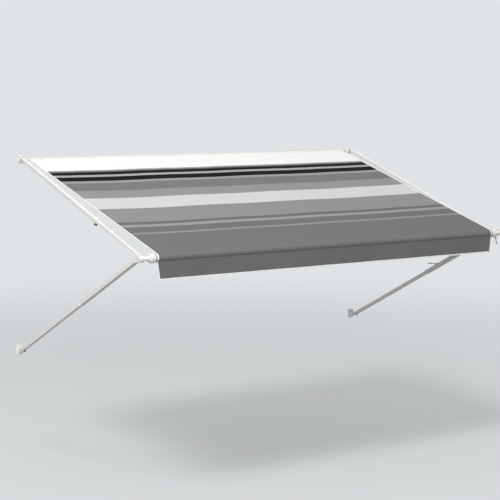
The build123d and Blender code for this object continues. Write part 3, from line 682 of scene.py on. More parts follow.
@dataclass
class RepeatTree:
    """Geometry node tree with named inputs, applied to a mesh of loose points or edges.

    Attributes:
        name: Name of the tree.
        inputs: Name of each input with its socket type.
        tree: The tree.
    """

    name: str
    inputs: dict[str, str]
    tree: NodeTree = field(init=False)

    def __post_init__(self) -> None:
        """Make the tree and its sockets."""
        self.tree = bpy.data.node_groups.new(self.name, "GeometryNodeTree")
        sockets = {"Geometry": "NodeSocketGeometry", "Material": "NodeSocketMaterial", **self.inputs}
        for name, kind in sockets.items():
            self.tree.interface.new_socket(name, in_out="INPUT", socket_type=kind)
        self.tree.interface.new_socket("Geometry", in_out="OUTPUT", socket_type="NodeSocketGeometry")
        entry = add_node(self.tree, "NodeGroupInput").outputs
        solid = add_node(self.tree, "GeometryNodeRealizeInstances", Geometry=self.instances(entry))
        finished = add_node(
            self.tree, "GeometryNodeSetMaterial", Geometry=solid, Material=entry["Material"]
        )
        add_node(self.tree, "NodeGroupOutput", Geometry=finished)

    def instances(self, sizes: bpy.types.bpy_prop_collection) -> Node:
        """Place the copies. Each kind of tree says how."""
        raise NotImplementedError

    def apply(
        self, piece: str, verts: Sequence[Point], edges: Sequence[tuple[int, int]], **values: object
    ) -> Object:
        """Run the tree on points or edges and keep the result as a plain mesh.

        Args:
            piece: Name of the new piece.
            verts: Points.
            edges: Edges between them.
            values: Value of each input, in small letters with underscores for spaces.

        Returns:
            The piece.
        """
        carrier = bpy.data.meshes.new(piece)
        carrier.from_pydata(list(verts), list(edges), [])
        obj = add_object(piece, carrier)
        modifier = obj.modifiers.new(self.name, "NODES")
        modifier.node_group = self.tree
        for item in self.tree.interface.items_tree:
            key = item.name.lower().replace(" ", "_")
            if item.in_out == "INPUT" and key in values:
                modifier[item.identifier] = values[key]
        graph = bpy.context.evaluated_depsgraph_get()
        mesh = bpy.data.meshes.new_from_object(obj.evaluated_get(graph), depsgraph=graph)
        obj.modifiers.clear()
        obj.data = mesh
        mesh.name = piece
        return obj


@dataclass
class HeadTree(RepeatTree):
    """Sets a screw or rivet head on every point, each turned by chance about its own axis.

    Attributes:
        seed: Seed of the turns.
        washer_sides: Number of sides of the washer.
    """

    name: str = "fastener_heads"
    inputs: dict[str, str] = field(default_factory=head_inputs)
    seed: int = 11
    washer_sides: int = 24

    def instances(self, sizes: bpy.types.bpy_prop_collection) -> Node:
        """Build one head and set it on the points.

        Args:
            sizes: The tree's inputs.

        Returns:
            The node of the instances.
        """
        tree = self.tree
        washer = add_node(
            tree,
            "GeometryNodeMeshCylinder",
            Vertices=self.washer_sides,
            Radius=sizes["Washer"],
            Depth=sizes["Washer Height"],
        )
        half_washer = add_node(tree, MATH, MULTIPLY, i0=sizes["Washer Height"], i1=0.5)
        seat = add_node(tree, COMBINE, Z=half_washer)
        low = add_node(tree, TRANSFORM, Geometry=washer, Translation=seat)
        cap = add_node(
            tree,
            "GeometryNodeMeshCone",
            Vertices=sizes["Sides"],
            Radius_Top=sizes["Top"],
            Radius_Bottom=sizes["Radius"],
            Depth=sizes["Height"],
        )
        lifted = add_node(tree, COMBINE, Z=sizes["Washer Height"])
        high = add_node(tree, TRANSFORM, Geometry=cap, Translation=lifted)
        head = add_node(tree, "GeometryNodeJoinGeometry")
        for part in (low, high):
            feed(head, Geometry=part)
        out = add_node(tree, ALIGN, {"axis": "Z"}, Vector=sizes["Facing"])
        chance = add_node(
            tree,
            "FunctionNodeRandomValue",
            {"data_type": "FLOAT_VECTOR"},
            i0=(0.0, 0.0, 0.0),
            i1=(0.0, 0.0, math.tau),
            Seed=self.seed,
        )
        turned = add_node(
            tree, "FunctionNodeRotateRotation", {"rotation_space": "LOCAL"}, Rotation=out, Rotate_By=chance
        )
        return add_node(tree, ON_POINTS, Points=sizes["Geometry"], Instance=head, Rotation=turned)


@dataclass
class StitchTree(RepeatTree):
    """Sews rows of stitches along lines.

    Attributes:
        pitch: Distance from stitch to stitch.
        size: Length, width and height of a stitch. Real thread is 0.5 mm thick, drawn twice as thick
            so that it shows.
    """

    name: str = "stitches"
    inputs: dict[str, str] = field(default_factory=lambda: {"Pitch": FLOAT, "Size": VECTOR})
    pitch: float = 0.0055
    size: Point = (0.0040, 0.0010, 0.0008)

    def instances(self, sizes: bpy.types.bpy_prop_collection) -> Node:
        """Lay a small bead of thread at each step of the line.

        Args:
            sizes: The tree's inputs.

        Returns:
            The node of the instances.
        """
        tree = self.tree
        line = add_node(tree, "GeometryNodeMeshToCurve", Mesh=sizes["Geometry"])
        steps = add_node(
            tree, "GeometryNodeResampleCurve", {"mode": "LENGTH"}, Curve=line, Length=sizes["Pitch"]
        )
        lie = add_node(tree, ALIGN, {"axis": "X"}, Vector=add_node(tree, "GeometryNodeInputTangent"))
        bead = add_node(tree, "GeometryNodeMeshIcoSphere", Radius=0.5, Subdivisions=1)
        return add_node(tree, ON_POINTS, Points=steps, Instance=bead, Rotation=lie, Scale=sizes["Size"])

    def sew(self, piece: str, rows: Sequence[Sequence[Point]], mat: Material) -> Object:
        """Sew several rows as one piece.

        Args:
            piece: Name of the new piece.
            rows: Points of each row.
            mat: Material of the thread.

        Returns:
            The piece.
        """
        verts: list[Point] = []
        edges: list[tuple[int, int]] = []
        for row in rows:
            edges += [(i, i + 1) for i in range(len(verts), len(verts) + len(row) - 1)]
            verts += row
        return self.apply(piece, verts, edges, material=mat, pitch=self.pitch, size=self.size)


# Cloth
@dataclass
class Cloth:
    """A closed sheet made from a path in the Y and Z plane, swept along X.

    Attributes:
        name: Name of the piece.
        path: Points (y, z) along the middle of the sheet, from its upper end.
        edges: X of both side edges at a share of the way down.
        thickness: Thickness of the sheet.
        columns: Number of divisions along X.
        lift: Height off the path at (x, share down), in metres.
        lengths: Distance of each point down the path.
        normals: Direction (y, z) off the sheet at each point.
    """

    name: str
    path: list[Pair]
    edges: Edges
    thickness: float
    columns: int
    lift: Lift
    lengths: list[float] = field(init=False)
    normals: list[Pair] = field(init=False)

    def __post_init__(self) -> None:
        """Work out the distances and the normals along the path."""
        self.lengths = [0.0]
        for (y0, z0), (y1, z1) in zip(self.path, self.path[1:]):
            self.lengths.append(self.lengths[-1] + math.hypot(y1 - y0, z1 - z0))
        self.normals = []
        last = len(self.path) - 1
        for i in range(len(self.path)):
            y0, z0 = self.path[max(i - 1, 0)]
            y1, z1 = self.path[min(i + 1, last)]
            size = math.hypot(y1 - y0, z1 - z0)
            self.normals.append(((z1 - z0) / size, (y0 - y1) / size))

    @property
    def length(self) -> float:
        """Length of the sheet down its path."""
        return self.lengths[-1]

    def point(self, x: float, row: int, away: float) -> Point:
        """Place a point of the sheet.

        Args:
            x: Place along the rail.
            row: Number of the path's point.
            away: Distance off the middle of the sheet.

        Returns:
            The point.
        """
        height = away + self.lift(x, self.lengths[row] / self.length)
        y, z = self.path[row]
        return (x, y + self.normals[row][0] * height, z + self.normals[row][1] * height)

    def build(self, mat: Material, slot: str) -> Object:
        """Build the sheet with a UV in metres.

        Args:
            mat: Material of the sheet.
            slot: Material slot of the record. Not used.

        Returns:
            The sheet as an object.
        """
        rows = len(self.path)
        width = self.columns + 1
        layer = rows * width
        verts: list[Point] = []
        uvs: list[Pair] = []
        for side in (1, -1):
            for row in range(rows):
                start, end = self.edges(self.lengths[row] / self.length)
                for column in range(width):
                    x = start + (end - start) * column / self.columns
                    verts.append(self.point(x, row, side * self.thickness / 2))
                    uvs.append((x - start, self.lengths[row]))
        faces: list[tuple[int, ...]] = []
        for row in range(rows - 1):
            for column in range(self.columns):
                a = row * width + column
                faces.append((a, a + 1, a + width + 1, a + width))
                b = a + layer
                faces.append((b, b + width, b + width + 1, b + 1))
        for column in range(self.columns):
            for row in (0, rows - 1):
                a = row * width + column
                faces.append((a, a + 1, a + 1 + layer, a + layer))
        for row in range(rows - 1):
            for column in (0, self.columns):
                a = row * width + column
                faces.append((a, a + width, a + width + layer, a + layer))
        obj = mesh_object(self.name, verts, faces, mat)
        uv_map = obj.data.uv_layers.new(name="UVMap")
        for loop in obj.data.loops:
            uv_map.data[loop.index].uv = uvs[loop.vertex_index]
        turn_outwards(obj)
        for poly in obj.data.polygons:
            poly.use_smooth = True
        obj.data.set_sharp_from_angle(angle=math.radians(SHARP_DEGREES))
        return obj


# Sub-assemblies
@dataclass
class Assembly:
    """What all sub-assemblies share.

    Attributes:
        finishes: Materials.
        heads: Tree that sets screw and rivet heads.
        stitches: Tree that sews.
        made: What has been dressed or built, for the log.
    """

    finishes: Finishes
    heads: HeadTree
    stitches: StitchTree
    made: list[str] = field(default_factory=list, init=False)

    def build(self) -> None:
        """Build and dress the pieces. Each sub-assembly says how."""
        raise NotImplementedError

    def dress(self, mat: Material, *names: str) -> None:
        """Give CAD nodes a material.

        Args:
            mat: The material.
            names: Names of the nodes.
        """
        for name in names:
            obj = frame["nodes"][name]
            obj.data.materials.clear()
            obj.data.materials.append(mat)
            self.made.append(f"{name} dressed in {mat.name}")

    def set_heads(
        self,
        piece: str,
        points: Sequence[Point],
        facing: Point,
        head: Head = RIVET_HEAD,
        body: str = "wall_side",
        slot: str = "white_casting",
    ) -> None:
        """Set painted heads of screws or rivets on points.

        Args:
            piece: Name of the new piece.
            points: Foot of each head.
            facing: Direction that the heads point in.
            head: Sizes of a head.
            body: Body that carries them.
            slot: Material slot of the record. Not used.
        """
        paint = self.finishes.painted_screw
        obj = self.heads.apply(piece, points, [], material=paint, facing=facing, **asdict(head))
        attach(obj, body)
        self.made.append(f"{piece}, {len(points)} on {body}")


@dataclass
class WallFixings(Assembly):
    """Awning rail, wall brackets and their screws.

    Attributes:
        rail_screws: Number of screws along the rail.
        rail_screw_end: Distance of the last screw from the rail's end.
        rail_screw_rise: Height of the screws above the rail's middle.
        rail_face: Thickness of the rail's flange.
        plate: Thickness of a bracket's base plate.
        lag_edge: Distance of a bracket's screws from its edges.
    """

    rail_screws: int = 14
    rail_screw_end: float = 0.090
    rail_screw_rise: float = 0.0075
    rail_face: float = 0.0022
    plate: float = 0.005
    lag_edge: float = 0.010

    def build(self) -> None:
        """Dress the fixed pieces and set their screw heads."""
        f = self.finishes
        brackets = [side.node(name) for side in Side for name in ("top_bracket", "bottom_bracket")]
        self.dress(f.extrusion, "awning_rail")
        self.dress(f.casting, *brackets)
        self.dress(f.steel, "top_pins", "bottom_pins", "rail_screws")
        self.dress(f.bead, "canopy_rail_bead")
        out = (0.0, -1.0, 0.0)
        self.set_heads("rail_screw_heads", self.rail_points(), out, RAIL_HEAD, slot="white_extrusion")
        lags = [point for name in brackets for point in self.lag_points(name)]
        self.set_heads("bracket_lag_heads", lags, out, LAG_HEAD)

    def rail_points(self) -> list[Point]:
        """Find the feet of the screw heads on the rail's flange.

        Returns:
            Their places.
        """
        low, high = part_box("awning_rail")
        start, end = low[0] + self.rail_screw_end, high[0] - self.rail_screw_end
        pitch = (end - start) / (self.rail_screws - 1)
        return [(start + pitch * i, -self.rail_face, self.rail_screw_rise) for i in range(self.rail_screws)]

    def lag_points(self, bracket: str) -> list[Point]:
        """Find the feet of the lag heads on a bracket's plate.

        Args:
            bracket: Node of the bracket.

        Returns:
            Its four places.
        """
        low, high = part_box(bracket)
        across = (low[0] + self.lag_edge, high[0] - self.lag_edge)
        up = (low[2] + self.lag_edge, high[2] - self.lag_edge)
        return [(x, -self.plate, z) for x in across for z in up]


@dataclass
class Telescope(Assembly):
    """A telescoping arm, with rivets in both faces of its outer tube.

    Attributes:
        side: End of the awning.
    """

    side: Side = Side.LEFT

    def dress_side(self, mat: Material, *names: str) -> None:
        """Give nodes of this end a material."""
        self.dress(mat, *(self.side.node(name) for name in names))

    def rivet(
        self, piece: str, pins: str, slide: str, tube: str, body: str, half: float, along: Sequence[float]
    ) -> None:
        """Set the rivets of both faces.

        Args:
            piece: Name of the rivets.
            pins: Node of the wall pins.
            slide: Joint along which the arm shortens.
            tube: Node of the outer tube.
            body: Body that carries them.
            half: Half the width of the outer tube.
            along: Distances of the rivets from the wall pin.
        """
        node = self.side.node
        joints = frame["record"]["behaviour"]["joints"]
        axis = next(joint["axis"] for joint in joints if joint["name"] == node(slide))
        outwards = -Vector(axis).normalized()
        spots = [middle(pins) + outwards * distance for distance in along]
        for way in (-1, 1):
            x = middle(node(tube)).x + way * half
            face = "outer" if way == self.side.value else "inner"
            points = [(x, spot.y, spot.z) for spot in spots]
            self.set_heads(node(f"{piece}_{face}"), points, (float(way), 0.0, 0.0), body=node(body))


@dataclass
class MainArm(Telescope):
    """One main arm: foot, leg, channel, head and lift handle.

    Attributes:
        channel_half: Half the width of the channel.
        head_rivets: Distances of the rivets of the head casting from the wall pin.
    """

    channel_half: float = 0.024
    head_rivets: tuple[float, ...] = (2.484, 2.514)

    def build(self) -> None:
        """Dress the arm and set the rivets of its head."""
        f = self.finishes
        self.dress_side(f.extrusion, "leg", "arm_channel")
        self.dress_side(f.casting, "foot", "head", "spring_anchor", "handle_bracket")
        self.dress_side(f.steel, "foot_pins", "axle", "handle_pin")
        self.dress_side(f.nylon, "leg_glide", "arm_collar", "lift_handle")
        self.dress_side(f.black, "foot_latch")
        self.rivet(
            piece="head_rivets",
            pins="bottom_pins",
            slide="arm_extend",
            tube="arm_channel",
            body="arm_body",
            half=self.channel_half,
            along=self.head_rivets,
        )


@dataclass
class Rafter(Telescope):
    """One rafter: hinge, outer tube, collar with its knob, inner tube and claw.

    Attributes:
        outer_half: Half the width of the outer tube.
        hinge_rivet: Distance of the hinge's rivet from the wall pin.
    """

    outer_half: float = 0.017
    hinge_rivet: float = 0.082

    def build(self) -> None:
        """Dress the rafter and set the rivets of its hinge."""
        f = self.finishes
        self.dress_side(f.extrusion, "rafter_tube", "rafter_inner")
        self.dress_side(f.casting, "rafter_hinge", "rafter_collar", "rafter_claw")
        self.dress_side(f.black, "rafter_knob")
        self.rivet(
            piece="hinge_rivet",
            pins="top_pins",
            slide="rafter_slide",
            tube="rafter_tube",
            body="rafter_body",
            half=self.outer_half,
            along=[self.hinge_rivet],
        )


@dataclass
class Roller(Assembly):
    """Roller tube with its end caps, springs and roll lock.

    Attributes:
        cap_screws: Number of screws in the face of an end cap.
        cap_screw_radius: Distance of these screws from the axis.
        cap_screw_start: Turn of the first screw from +Y, as a share of their pitch.
        cap_face_inset: Distance of the cap's face from the middle of the arm.
    """

    cap_screws: int = 3
    cap_screw_radius: float = 0.033
    cap_screw_start: float = 0.25
    cap_face_inset: float = 0.080

    def build(self) -> None:
        """Dress the roller and set the screws of its caps."""
        f = self.finishes
        self.dress(f.tube, "roller_tube")
        self.dress(f.casting, "lock_pin", "left_end_cap", "right_end_cap")
        self.dress(f.steel, "roll_lock")
        self.dress(f.spring, "left_torsion_spring", "right_torsion_spring")
        self.dress(f.bead, "canopy_roller_bead", "valance_bead")
        for side in Side:
            x = middle(side.node("arm_channel")).x - side.value * self.cap_face_inset
            ring = []
            for screw in range(self.cap_screws):
                angle = math.tau * (screw + self.cap_screw_start) / self.cap_screws
                ring.append((x, *around(roller_axis(), self.cap_screw_radius, angle)))
            self.set_heads(side.node("cap_screws"), ring, (float(side.value), 0.0, 0.0), body="roller")


@dataclass
class SoftPiece(Assembly):
    """A sheet of cloth with its bindings and stitches.

    Attributes:
        stands_for: CAD node that it replaces.
        wrap_radius: Radius of the cloth's middle round the roller.
        thickness: Thickness of the cloth.
        binding_columns: Divisions across the width of a side binding.
        half: Half the width of the sheet.
    """

    stands_for: str = ""
    wrap_radius: float = 0.0407
    thickness: float = 0.0008
    binding_columns: int = 3
    half: float = field(init=False)

    def __post_init__(self) -> None:
        """Read the width from the CAD."""
        self.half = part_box(self.stands_for)[1][0]


@dataclass
class Canopy(SoftPiece):
    """The striped canopy with its bound side edges, stretched from the rail to the roller.

    Attributes:
        rail: Y and Z of the bead in the rail.
        mouth: Distance from the bead to the start of the cloth.
        groove_angle: Angle of the groove that holds the lower edge, in degrees.
        columns: Divisions along the rail.
        rows: Divisions of the straight stretch.
        steps: Divisions of the curl on the roller.
        sag: Sag at the middle.
        landing: Share of the way down at which the cloth meets the roller.
        edge_hold: Power by which the sag flattens towards the side edges, which the bindings hold.
        pull: Height of the broad waves where the cloth is pulled.
        pull_waves: Their number along the rail, and their start in radians.
        gathers: Height of the small gathers at the rail.
        gather_turn: Turn of their wave and of its drift along the rail, in radians.
        gather_drift: How far the drift shifts the wave, in radians.
        gather_rise: How steeply the gathers start at the rail.
        gather_fall: Power by which they die away down the slope.
        hem: Width of the bound side edges.
        hem_thickness: Thickness of a bound edge.
        hem_rise: How far a bound edge lies above the middle of the cloth.
        seams: Distances of the stitch rows from the edge.
        folded_share: Share of its length that the squashed canopy would keep when folded. Not used.
    """

    stands_for: str = "canopy"
    rail: Pair = (-0.0084, -0.005)
    mouth: float = 0.0078
    groove_angle: float = 205.0
    columns: int = 120
    rows: int = 72
    steps: int = 14
    sag: float = 0.012
    landing: float = 0.97
    edge_hold: int = 6
    pull: float = 0.0022
    pull_waves: Pair = (3.5, 1.3)
    gathers: float = 0.0009
    gather_turn: Pair = (61.0, 17.0)
    gather_drift: float = 2.0
    gather_rise: float = 30.0
    gather_fall: int = 3
    hem: float = 0.018
    hem_thickness: float = 0.0018
    hem_rise: float = 0.0003
    seams: tuple[float, ...] = (0.0035, 0.0145)
    folded_share: float = 0.02

    def line_angle(self) -> float:
        """Find the angle of the cloth's line from the rail to the roller.

        Returns:
            The angle from +Y towards +Z, in radians.
        """
        dy, dz = (a - b for a, b in zip(roller_axis(), self.rail))
        return math.atan2(dz, dy) % math.tau - math.asin(self.wrap_radius / math.hypot(dy, dz))

    def path(self) -> list[Pair]:
        """Lay the middle line of the cloth, from the rail's mouth round the roller to its groove.

        Returns:
            Points (y, z).
        """
        angle = self.line_angle()
        touch = angle - math.pi / 2
        curl = math.radians(self.groove_angle) - touch
        y0, z0 = around(self.rail, self.mouth, angle)
        y1, z1 = around(roller_axis(), self.wrap_radius, touch)
        rows, steps = self.rows, self.steps
        points = [(y0 + (y1 - y0) * i / rows, z0 + (z1 - z0) * i / rows) for i in range(rows)]
        turns = [touch + curl * i / steps for i in range(steps + 1)]
        return points + [around(roller_axis(), self.wrap_radius, turn) for turn in turns]

    def lift(self, x: float, down: float) -> float:
        """Find the height of the cloth off its straight line.

        Args:
            x: Place along the rail.
            down: Share of the way down the cloth.

        Returns:
            Height in metres, negative where the cloth sags.
        """
        across = (x / self.half + 1) / 2
        stretch = min(down / self.landing, 1.0)
        body = math.sin(math.pi * stretch)
        free = 1 - min(abs(2 * across - 1), 1.0) ** self.edge_hold
        fade = (1 - stretch) ** self.gather_fall * min(stretch * self.gather_rise, 1)
        turn, drift = self.gather_turn
        shift = self.gather_drift * math.sin(across * drift)
        gather = self.gathers * math.sin(across * turn + shift) * fade
        waves, start = self.pull_waves
        pull = self.pull * math.sin(across * math.tau * waves + start) * body
        return (pull - self.sag * body) * free + gather

    def build(self) -> None:
        """Build cloth, bound edges and stitches."""
        f, half, path = self.finishes, self.half, self.path()
        cloth = Cloth(
            "canopy_cloth",
            path,
            lambda down: (-half, half),
            self.thickness,
            self.columns,
            self.lift,
        )
        pieces = [cloth.build(f.canopy, "canopy_cloth")]
        rows = []
        for side in Side:
            low, high = sorted((side.value * half, side.value * (half - self.hem)))
            hem = Cloth(
                side.node("canopy_hem"),
                path,
                lambda down, low=low, high=high: (low, high),
                self.hem_thickness,
                self.binding_columns,
                lambda x, down: self.lift(x, down) + self.hem_rise,
            )
            pieces.append(hem.build(f.binding, "canopy_cloth"))
            for inset in self.seams:
                x = side.value * (half - inset)
                # The first stitch lies one step below the rail
                rows.append([hem.point(x, row, self.hem_thickness / 2) for row in range(1, len(path))])
        pieces.append(self.stitches.sew("canopy_stitches", rows, f.thread))
        angle = self.line_angle()
        for piece in pieces:
            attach(piece, "wall_side")
            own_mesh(piece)
        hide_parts("canopy")
        self.made += [piece.name for piece in pieces]


@dataclass
class Valance(SoftPiece):
    """The hanging strip at the roller, with its pale binding.

    Attributes:
        groove_angle: Angle of its groove, in degrees.
        bend: Radius of the bend under the groove.
        steps: Divisions of the bend.
        columns: Divisions along the rail.
        rows: Divisions of the hanging stretch.
        droop: How far the soft strip hangs below the CAD's.
        slant: How far each end leans in at the bottom.
        slant_start: Share of the way down at which it starts to lean.
        binding: Width of the binding.
        binding_thickness: Thickness of the binding.
        overlap: How far the binding stands proud of the cloth's edge.
        seam: Distance of the stitch row from the binding's inner edge.
        seam_start: Point of the path at which the end rows of stitches start.
        lower_rows: Divisions of the lower binding's width.
        lower_seam: The one of them at which its stitches lie.
        wave: Height of the gentle waves at the bottom.
        waves: Weight, turn per metre and start of each wave, in radians.
        wave_growth: Power by which the waves grow down the strip.
    """

    stands_for: str = "valance"
    groove_angle: float = 227.0
    bend: float = 0.012
    steps: int = 8
    columns: int = 240
    rows: int = 20
    droop: float = 0.010
    slant: float = 0.022
    slant_start: float = 0.06
    binding: float = 0.012
    binding_thickness: float = 0.0022
    overlap: float = 0.0005
    seam: float = 0.003
    seam_start: int = 2
    lower_rows: int = 4
    lower_seam: int = 1
    wave: float = 0.0060
    waves: tuple[Point, ...] = ((1.0, 9.7, 0.4), (0.6, 23.0, 1.1), (0.25, 51.0, 0.0))
    wave_growth: float = 1.4

    def path(self) -> list[Pair]:
        """Lay the middle line of the strip, from its groove down to its lower edge.

        Returns:
            Points (y, z).
        """
        groove = math.radians(self.groove_angle)
        bend_turn = DOWN - groove
        centre = around(
            around(roller_axis(), self.wrap_radius, groove), self.bend, groove + math.pi / 2
        )
        points: list[Pair] = []
        for i in range(self.steps + 1):
            turn = groove - math.pi / 2 + bend_turn * i / self.steps
            points.append(around(centre, self.bend, turn))
        y, z = points[-1]
        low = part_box("valance")[0][2] - self.droop
        return points + [(y, z + (low - z) * i / self.rows) for i in range(1, self.rows + 1)]

    def lift(self, x: float, down: float) -> float:
        """Find the gentle wave of the hanging strip.

        Args:
            x: Place along the rail.
            down: Share of the way down.

        Returns:
            Height off the path in metres.
        """
        swing = sum(weight * math.sin(x * turn + start) for weight, turn, start in self.waves)
        full = sum(weight for weight, _, _ in self.waves)
        return self.wave / full * swing * down**self.wave_growth

    def lean(self, down: float) -> float:
        """How far the end of the strip has leaned in at a share of the way down."""
        return self.slant * max(down - self.slant_start, 0.0) / (1 - self.slant_start)

    def end_edges(self, way: int, down: float) -> Pair:
        """Find both sides of an end binding.

        Args:
            way: Sign of the end's X.
            down: Share of the way down.

        Returns:
            Their X, the lower one first.
        """
        outer = way * (self.half + self.overlap - self.lean(down))
        low, high = sorted((outer, outer - way * self.binding))
        return (low, high)

    def build(self) -> None:
        """Build the strip, its binding and its stitches."""
        f, half, path = self.finishes, self.half, self.path()
        strip = Cloth(
            "valance_cloth",
            path,
            lambda down: (self.lean(down) - half, half - self.lean(down)),
            self.thickness,
            self.columns,
            self.lift,
        )
        pieces = [strip.build(f.valance, "valance_cloth")]
        rows = []
        for side in Side:
            end = Cloth(
                side.node("valance_binding"),
                path,
                partial(self.end_edges, side.value),
                self.binding_thickness,
                self.binding_columns,
                self.lift,
            )
            pieces.append(end.build(f.binding, "valance_cloth"))
            row = []
            for i in range(self.seam_start, len(path)):
                inner = half - self.lean(end.lengths[i] / end.length) - self.binding + self.seam
                row.append(end.point(side.value * inner, i, self.binding_thickness / 2))
            rows.append(row)
        pieces.append(self.lower_binding(strip, rows))
        pieces.append(self.stitches.sew("valance_stitches", rows, f.thread))
        for piece in pieces:
            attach(piece, "roller")
        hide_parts("valance")
        self.made += [piece.name for piece in pieces]

    def lower_binding(self, strip: Cloth, rows: list[list[Point]]) -> Object:
        """Build the binding of the lower edge and add its stitch row.

        Args:
            strip: The hanging strip.
            rows: Stitch rows, which gain one.

        Returns:
            The binding.
        """
        y, low = strip.path[-1]
        count, columns = self.lower_rows, self.columns
        path = [(y, low + self.binding * (count - i) / count) for i in range(count)]
        path.append((y, low - self.overlap))
        reach = self.half - self.slant

        def level(x: float, down: float) -> float:
            """Wave of the strip at the height of the binding."""
            return self.lift(x, 1 - self.binding * (1 - down) / strip.length)

        piece = Cloth(
            "valance_lower_binding",
            path,
            lambda down: (-reach, reach),
            self.binding_thickness,
            columns,
            level,
        )
        places = [-reach + 2 * reach * i / columns for i in range(columns + 1)]
        rows.append([piece.point(x, self.lower_seam, self.binding_thickness / 2) for x in places])
        return piece.build(self.finishes.binding, "valance_cloth")


# Studio
def aim(obj: Object, place: Sequence[float], way: Vector) -> None:
    """Put a lamp or camera in its place and turn it.

    Args:
        obj: The lamp or camera.
        place: Where it stands.
        way: The direction it looks in.
    """
    obj.location = place
    obj.rotation_euler = way.to_track_quat("-Z", "Y").to_euler()


@dataclass(frozen=True)
class Lamp:
    """Large square soft light that points at the awning.

    Attributes:
        name: Name of the lamp.
        power: Its power in watts.
        size: Its side.
        way: Direction from the awning to it.
        distance: Its distance from the middle of the awning.
    """

    name: str
    power: float
    size: float
    way: Point
    distance: float = 26.0

    def build(self) -> None:
        """Set up the lamp."""
        data = bpy.data.lights.new(self.name, "AREA")
        data.energy = self.power
        data.size = self.size
        target = (Vector(cad_box[0]) + Vector(cad_box[1])) / 2
        towards = Vector(self.way).normalized()
        aim(add_object(self.name, data), target + towards * self.distance, -towards)


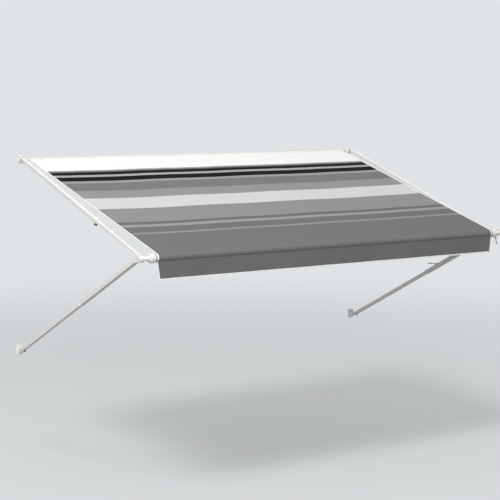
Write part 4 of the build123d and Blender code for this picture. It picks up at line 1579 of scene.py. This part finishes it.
@dataclass
class Studio:
    """Floor, light and camera.

    Attributes:
        floor_z: Height of the ground under the awning.
        floor_half: Half the side of the floor.
        backdrop: Colour that the floor fades to.
        ground: Colour of the floor where it is seen.
        ground_bounce: Colour of the light that the floor throws back up.
        ground_roughness: Roughness of the floor.
        fade: Distances between which the floor fades.
        near_fade: How far it has faded at the first of them.
        sky: Strength of the even light.
        lamps: Overhead light, and soft light on the camera's side.
        focal_px: Focal length in pixels of the picture.
        picture_px: Width of the picture in pixels.
        sensor_mm: Width of the camera's sensor.
        far: Distance up to which the camera sees.
        yaw: Turn of the camera to the right of +Y, in degrees.
        pitch: Tilt of the camera below level, in degrees.
        place: Place of the camera.
    """

    floor_z: float = -3.05
    floor_half: float = 60.0
    backdrop: str = "E0E3E6"
    ground: str = "DADCDD"
    ground_bounce: str = "77797A"
    ground_roughness: float = 0.9
    fade: Pair = (4.0, 15.0)
    near_fade: float = 0.35
    sky: float = 0.42
    lamps: tuple[Lamp, ...] = (
        Lamp("overhead", 3700.0, 7.3, (-0.50, -0.36, 0.79)),
        Lamp("fill", 2600.0, 9.8, (-0.50, -0.84, 0.20)),
    )
    focal_px: float = 1459.0
    picture_px: float = 500.0
    sensor_mm: float = 36.0
    far: float = 200.0
    yaw: float = 34.812
    pitch: float = 6.114
    place: Point = (-8.5086, -13.2405, 0.6483)

    def build(self) -> None:
        """Build the studio."""
        self.floor()
        self.world()
        for lamp in self.lamps:
            lamp.build()
        self.camera()

    def seen(self, tree: NodeTree) -> Node:
        """Tell the rays that show the background: those of the camera, of gloss and of glass.

        Args:
            tree: The tree that needs to know.

        Returns:
            The node that gives 1 for these rays.
        """
        rays = add_node(tree, "ShaderNodeLightPath").outputs
        first = add_node(tree, MATH, MAXIMUM, i0=rays["Is Camera Ray"], i1=rays["Is Glossy Ray"])
        return add_node(tree, MATH, MAXIMUM, i0=first, i1=rays["Is Transmission Ray"])

    def floor(self) -> None:
        """Lay the pale floor, which fades into the backdrop with the distance."""
        mat, tree, shader = start_material("pale_studio_floor")
        shown = self.seen(tree)
        ground = add_node(
            tree, MIX, COLOURS, i0=shown, i6=linear(self.ground_bounce), i7=linear(self.ground)
        )
        feed(shader, Base_Color=ground, Roughness=self.ground_roughness)
        place = add_node(tree, COORDINATES).outputs[Space.OBJECT.value]
        level = add_node(tree, VECTOR_MATH, MULTIPLY, i0=place, i1=(1.0, 1.0, 0.0))
        far = add_node(tree, VECTOR_MATH, {"operation": "LENGTH"}, i0=level)
        smooth = {"interpolation_type": "SMOOTHSTEP"}
        share = add_node(tree, RANGE, smooth, Value=far, **levels(self.fade, (self.near_fade, 1.0)))
        amount = add_node(tree, MATH, MULTIPLY, i0=share, i1=shown)
        glow = add_node(tree, "ShaderNodeEmission", Color=linear(self.backdrop), Strength=1.0)
        mixed = add_node(tree, "ShaderNodeMixShader", i0=amount, i1=shader, i2=glow)
        feed(tree.nodes["Material Output"], Surface=mixed)
        size, z = self.floor_half, self.floor_z
        corners = [(-size, -size, z), (size, -size, z), (size, size, z), (-size, size, z)]
        mesh_object("studio_floor", corners, [(0, 1, 2, 3)], mat)

    def world(self) -> None:
        """Set the even light all round, and the pale backdrop."""
        world = bpy.data.worlds.new("studio_world")
        bpy.context.scene.world = world
        world.use_nodes = True
        tree = world.node_tree
        tree.nodes.clear()
        sky = add_node(tree, "ShaderNodeBackground", Color=linear("FFFFFF"), Strength=self.sky)
        paper = add_node(tree, "ShaderNodeBackground", Color=linear(self.backdrop), Strength=1.0)
        mix = add_node(tree, "ShaderNodeMixShader", i0=self.seen(tree), i1=sky, i2=paper)
        add_node(tree, "ShaderNodeOutputWorld", Surface=mix)

    def camera(self) -> None:
        """Set the camera at the photograph's place and angle."""
        data = bpy.data.cameras.new("camera")
        data.sensor_width = data.sensor_height = self.sensor_mm
        data.sensor_fit = "HORIZONTAL"
        data.lens = self.focal_px / self.picture_px * self.sensor_mm
        data.clip_end = self.far
        yaw, pitch = math.radians(self.yaw), math.radians(self.pitch)
        level = math.cos(pitch)
        obj = add_object("camera", data)
        aim(obj, self.place, Vector((math.sin(yaw) * level, math.cos(yaw) * level, -math.sin(pitch))))
        bpy.context.scene.camera = obj


def main() -> None:
    """Build the awning and its studio."""
    logging.basicConfig(level=logging.INFO, format="%(name)s: %(message)s")
    bpy.context.scene.view_settings.view_transform = "Standard"
    shared = (Finishes(), HeadTree(), StitchTree())
    parts: list[Assembly] = [WallFixings(*shared)]
    for side in Side:
        parts += [MainArm(*shared, side=side), Rafter(*shared, side=side)]
    parts += [Roller(*shared), Canopy(*shared), Valance(*shared)]
    for part in parts:
        part.build()
        for piece in part.made:
            LOG.info("%s: %s", type(part).__name__, piece)
    Studio().build()
    LOG.info("studio built")


if __name__ == "__main__":
    main()
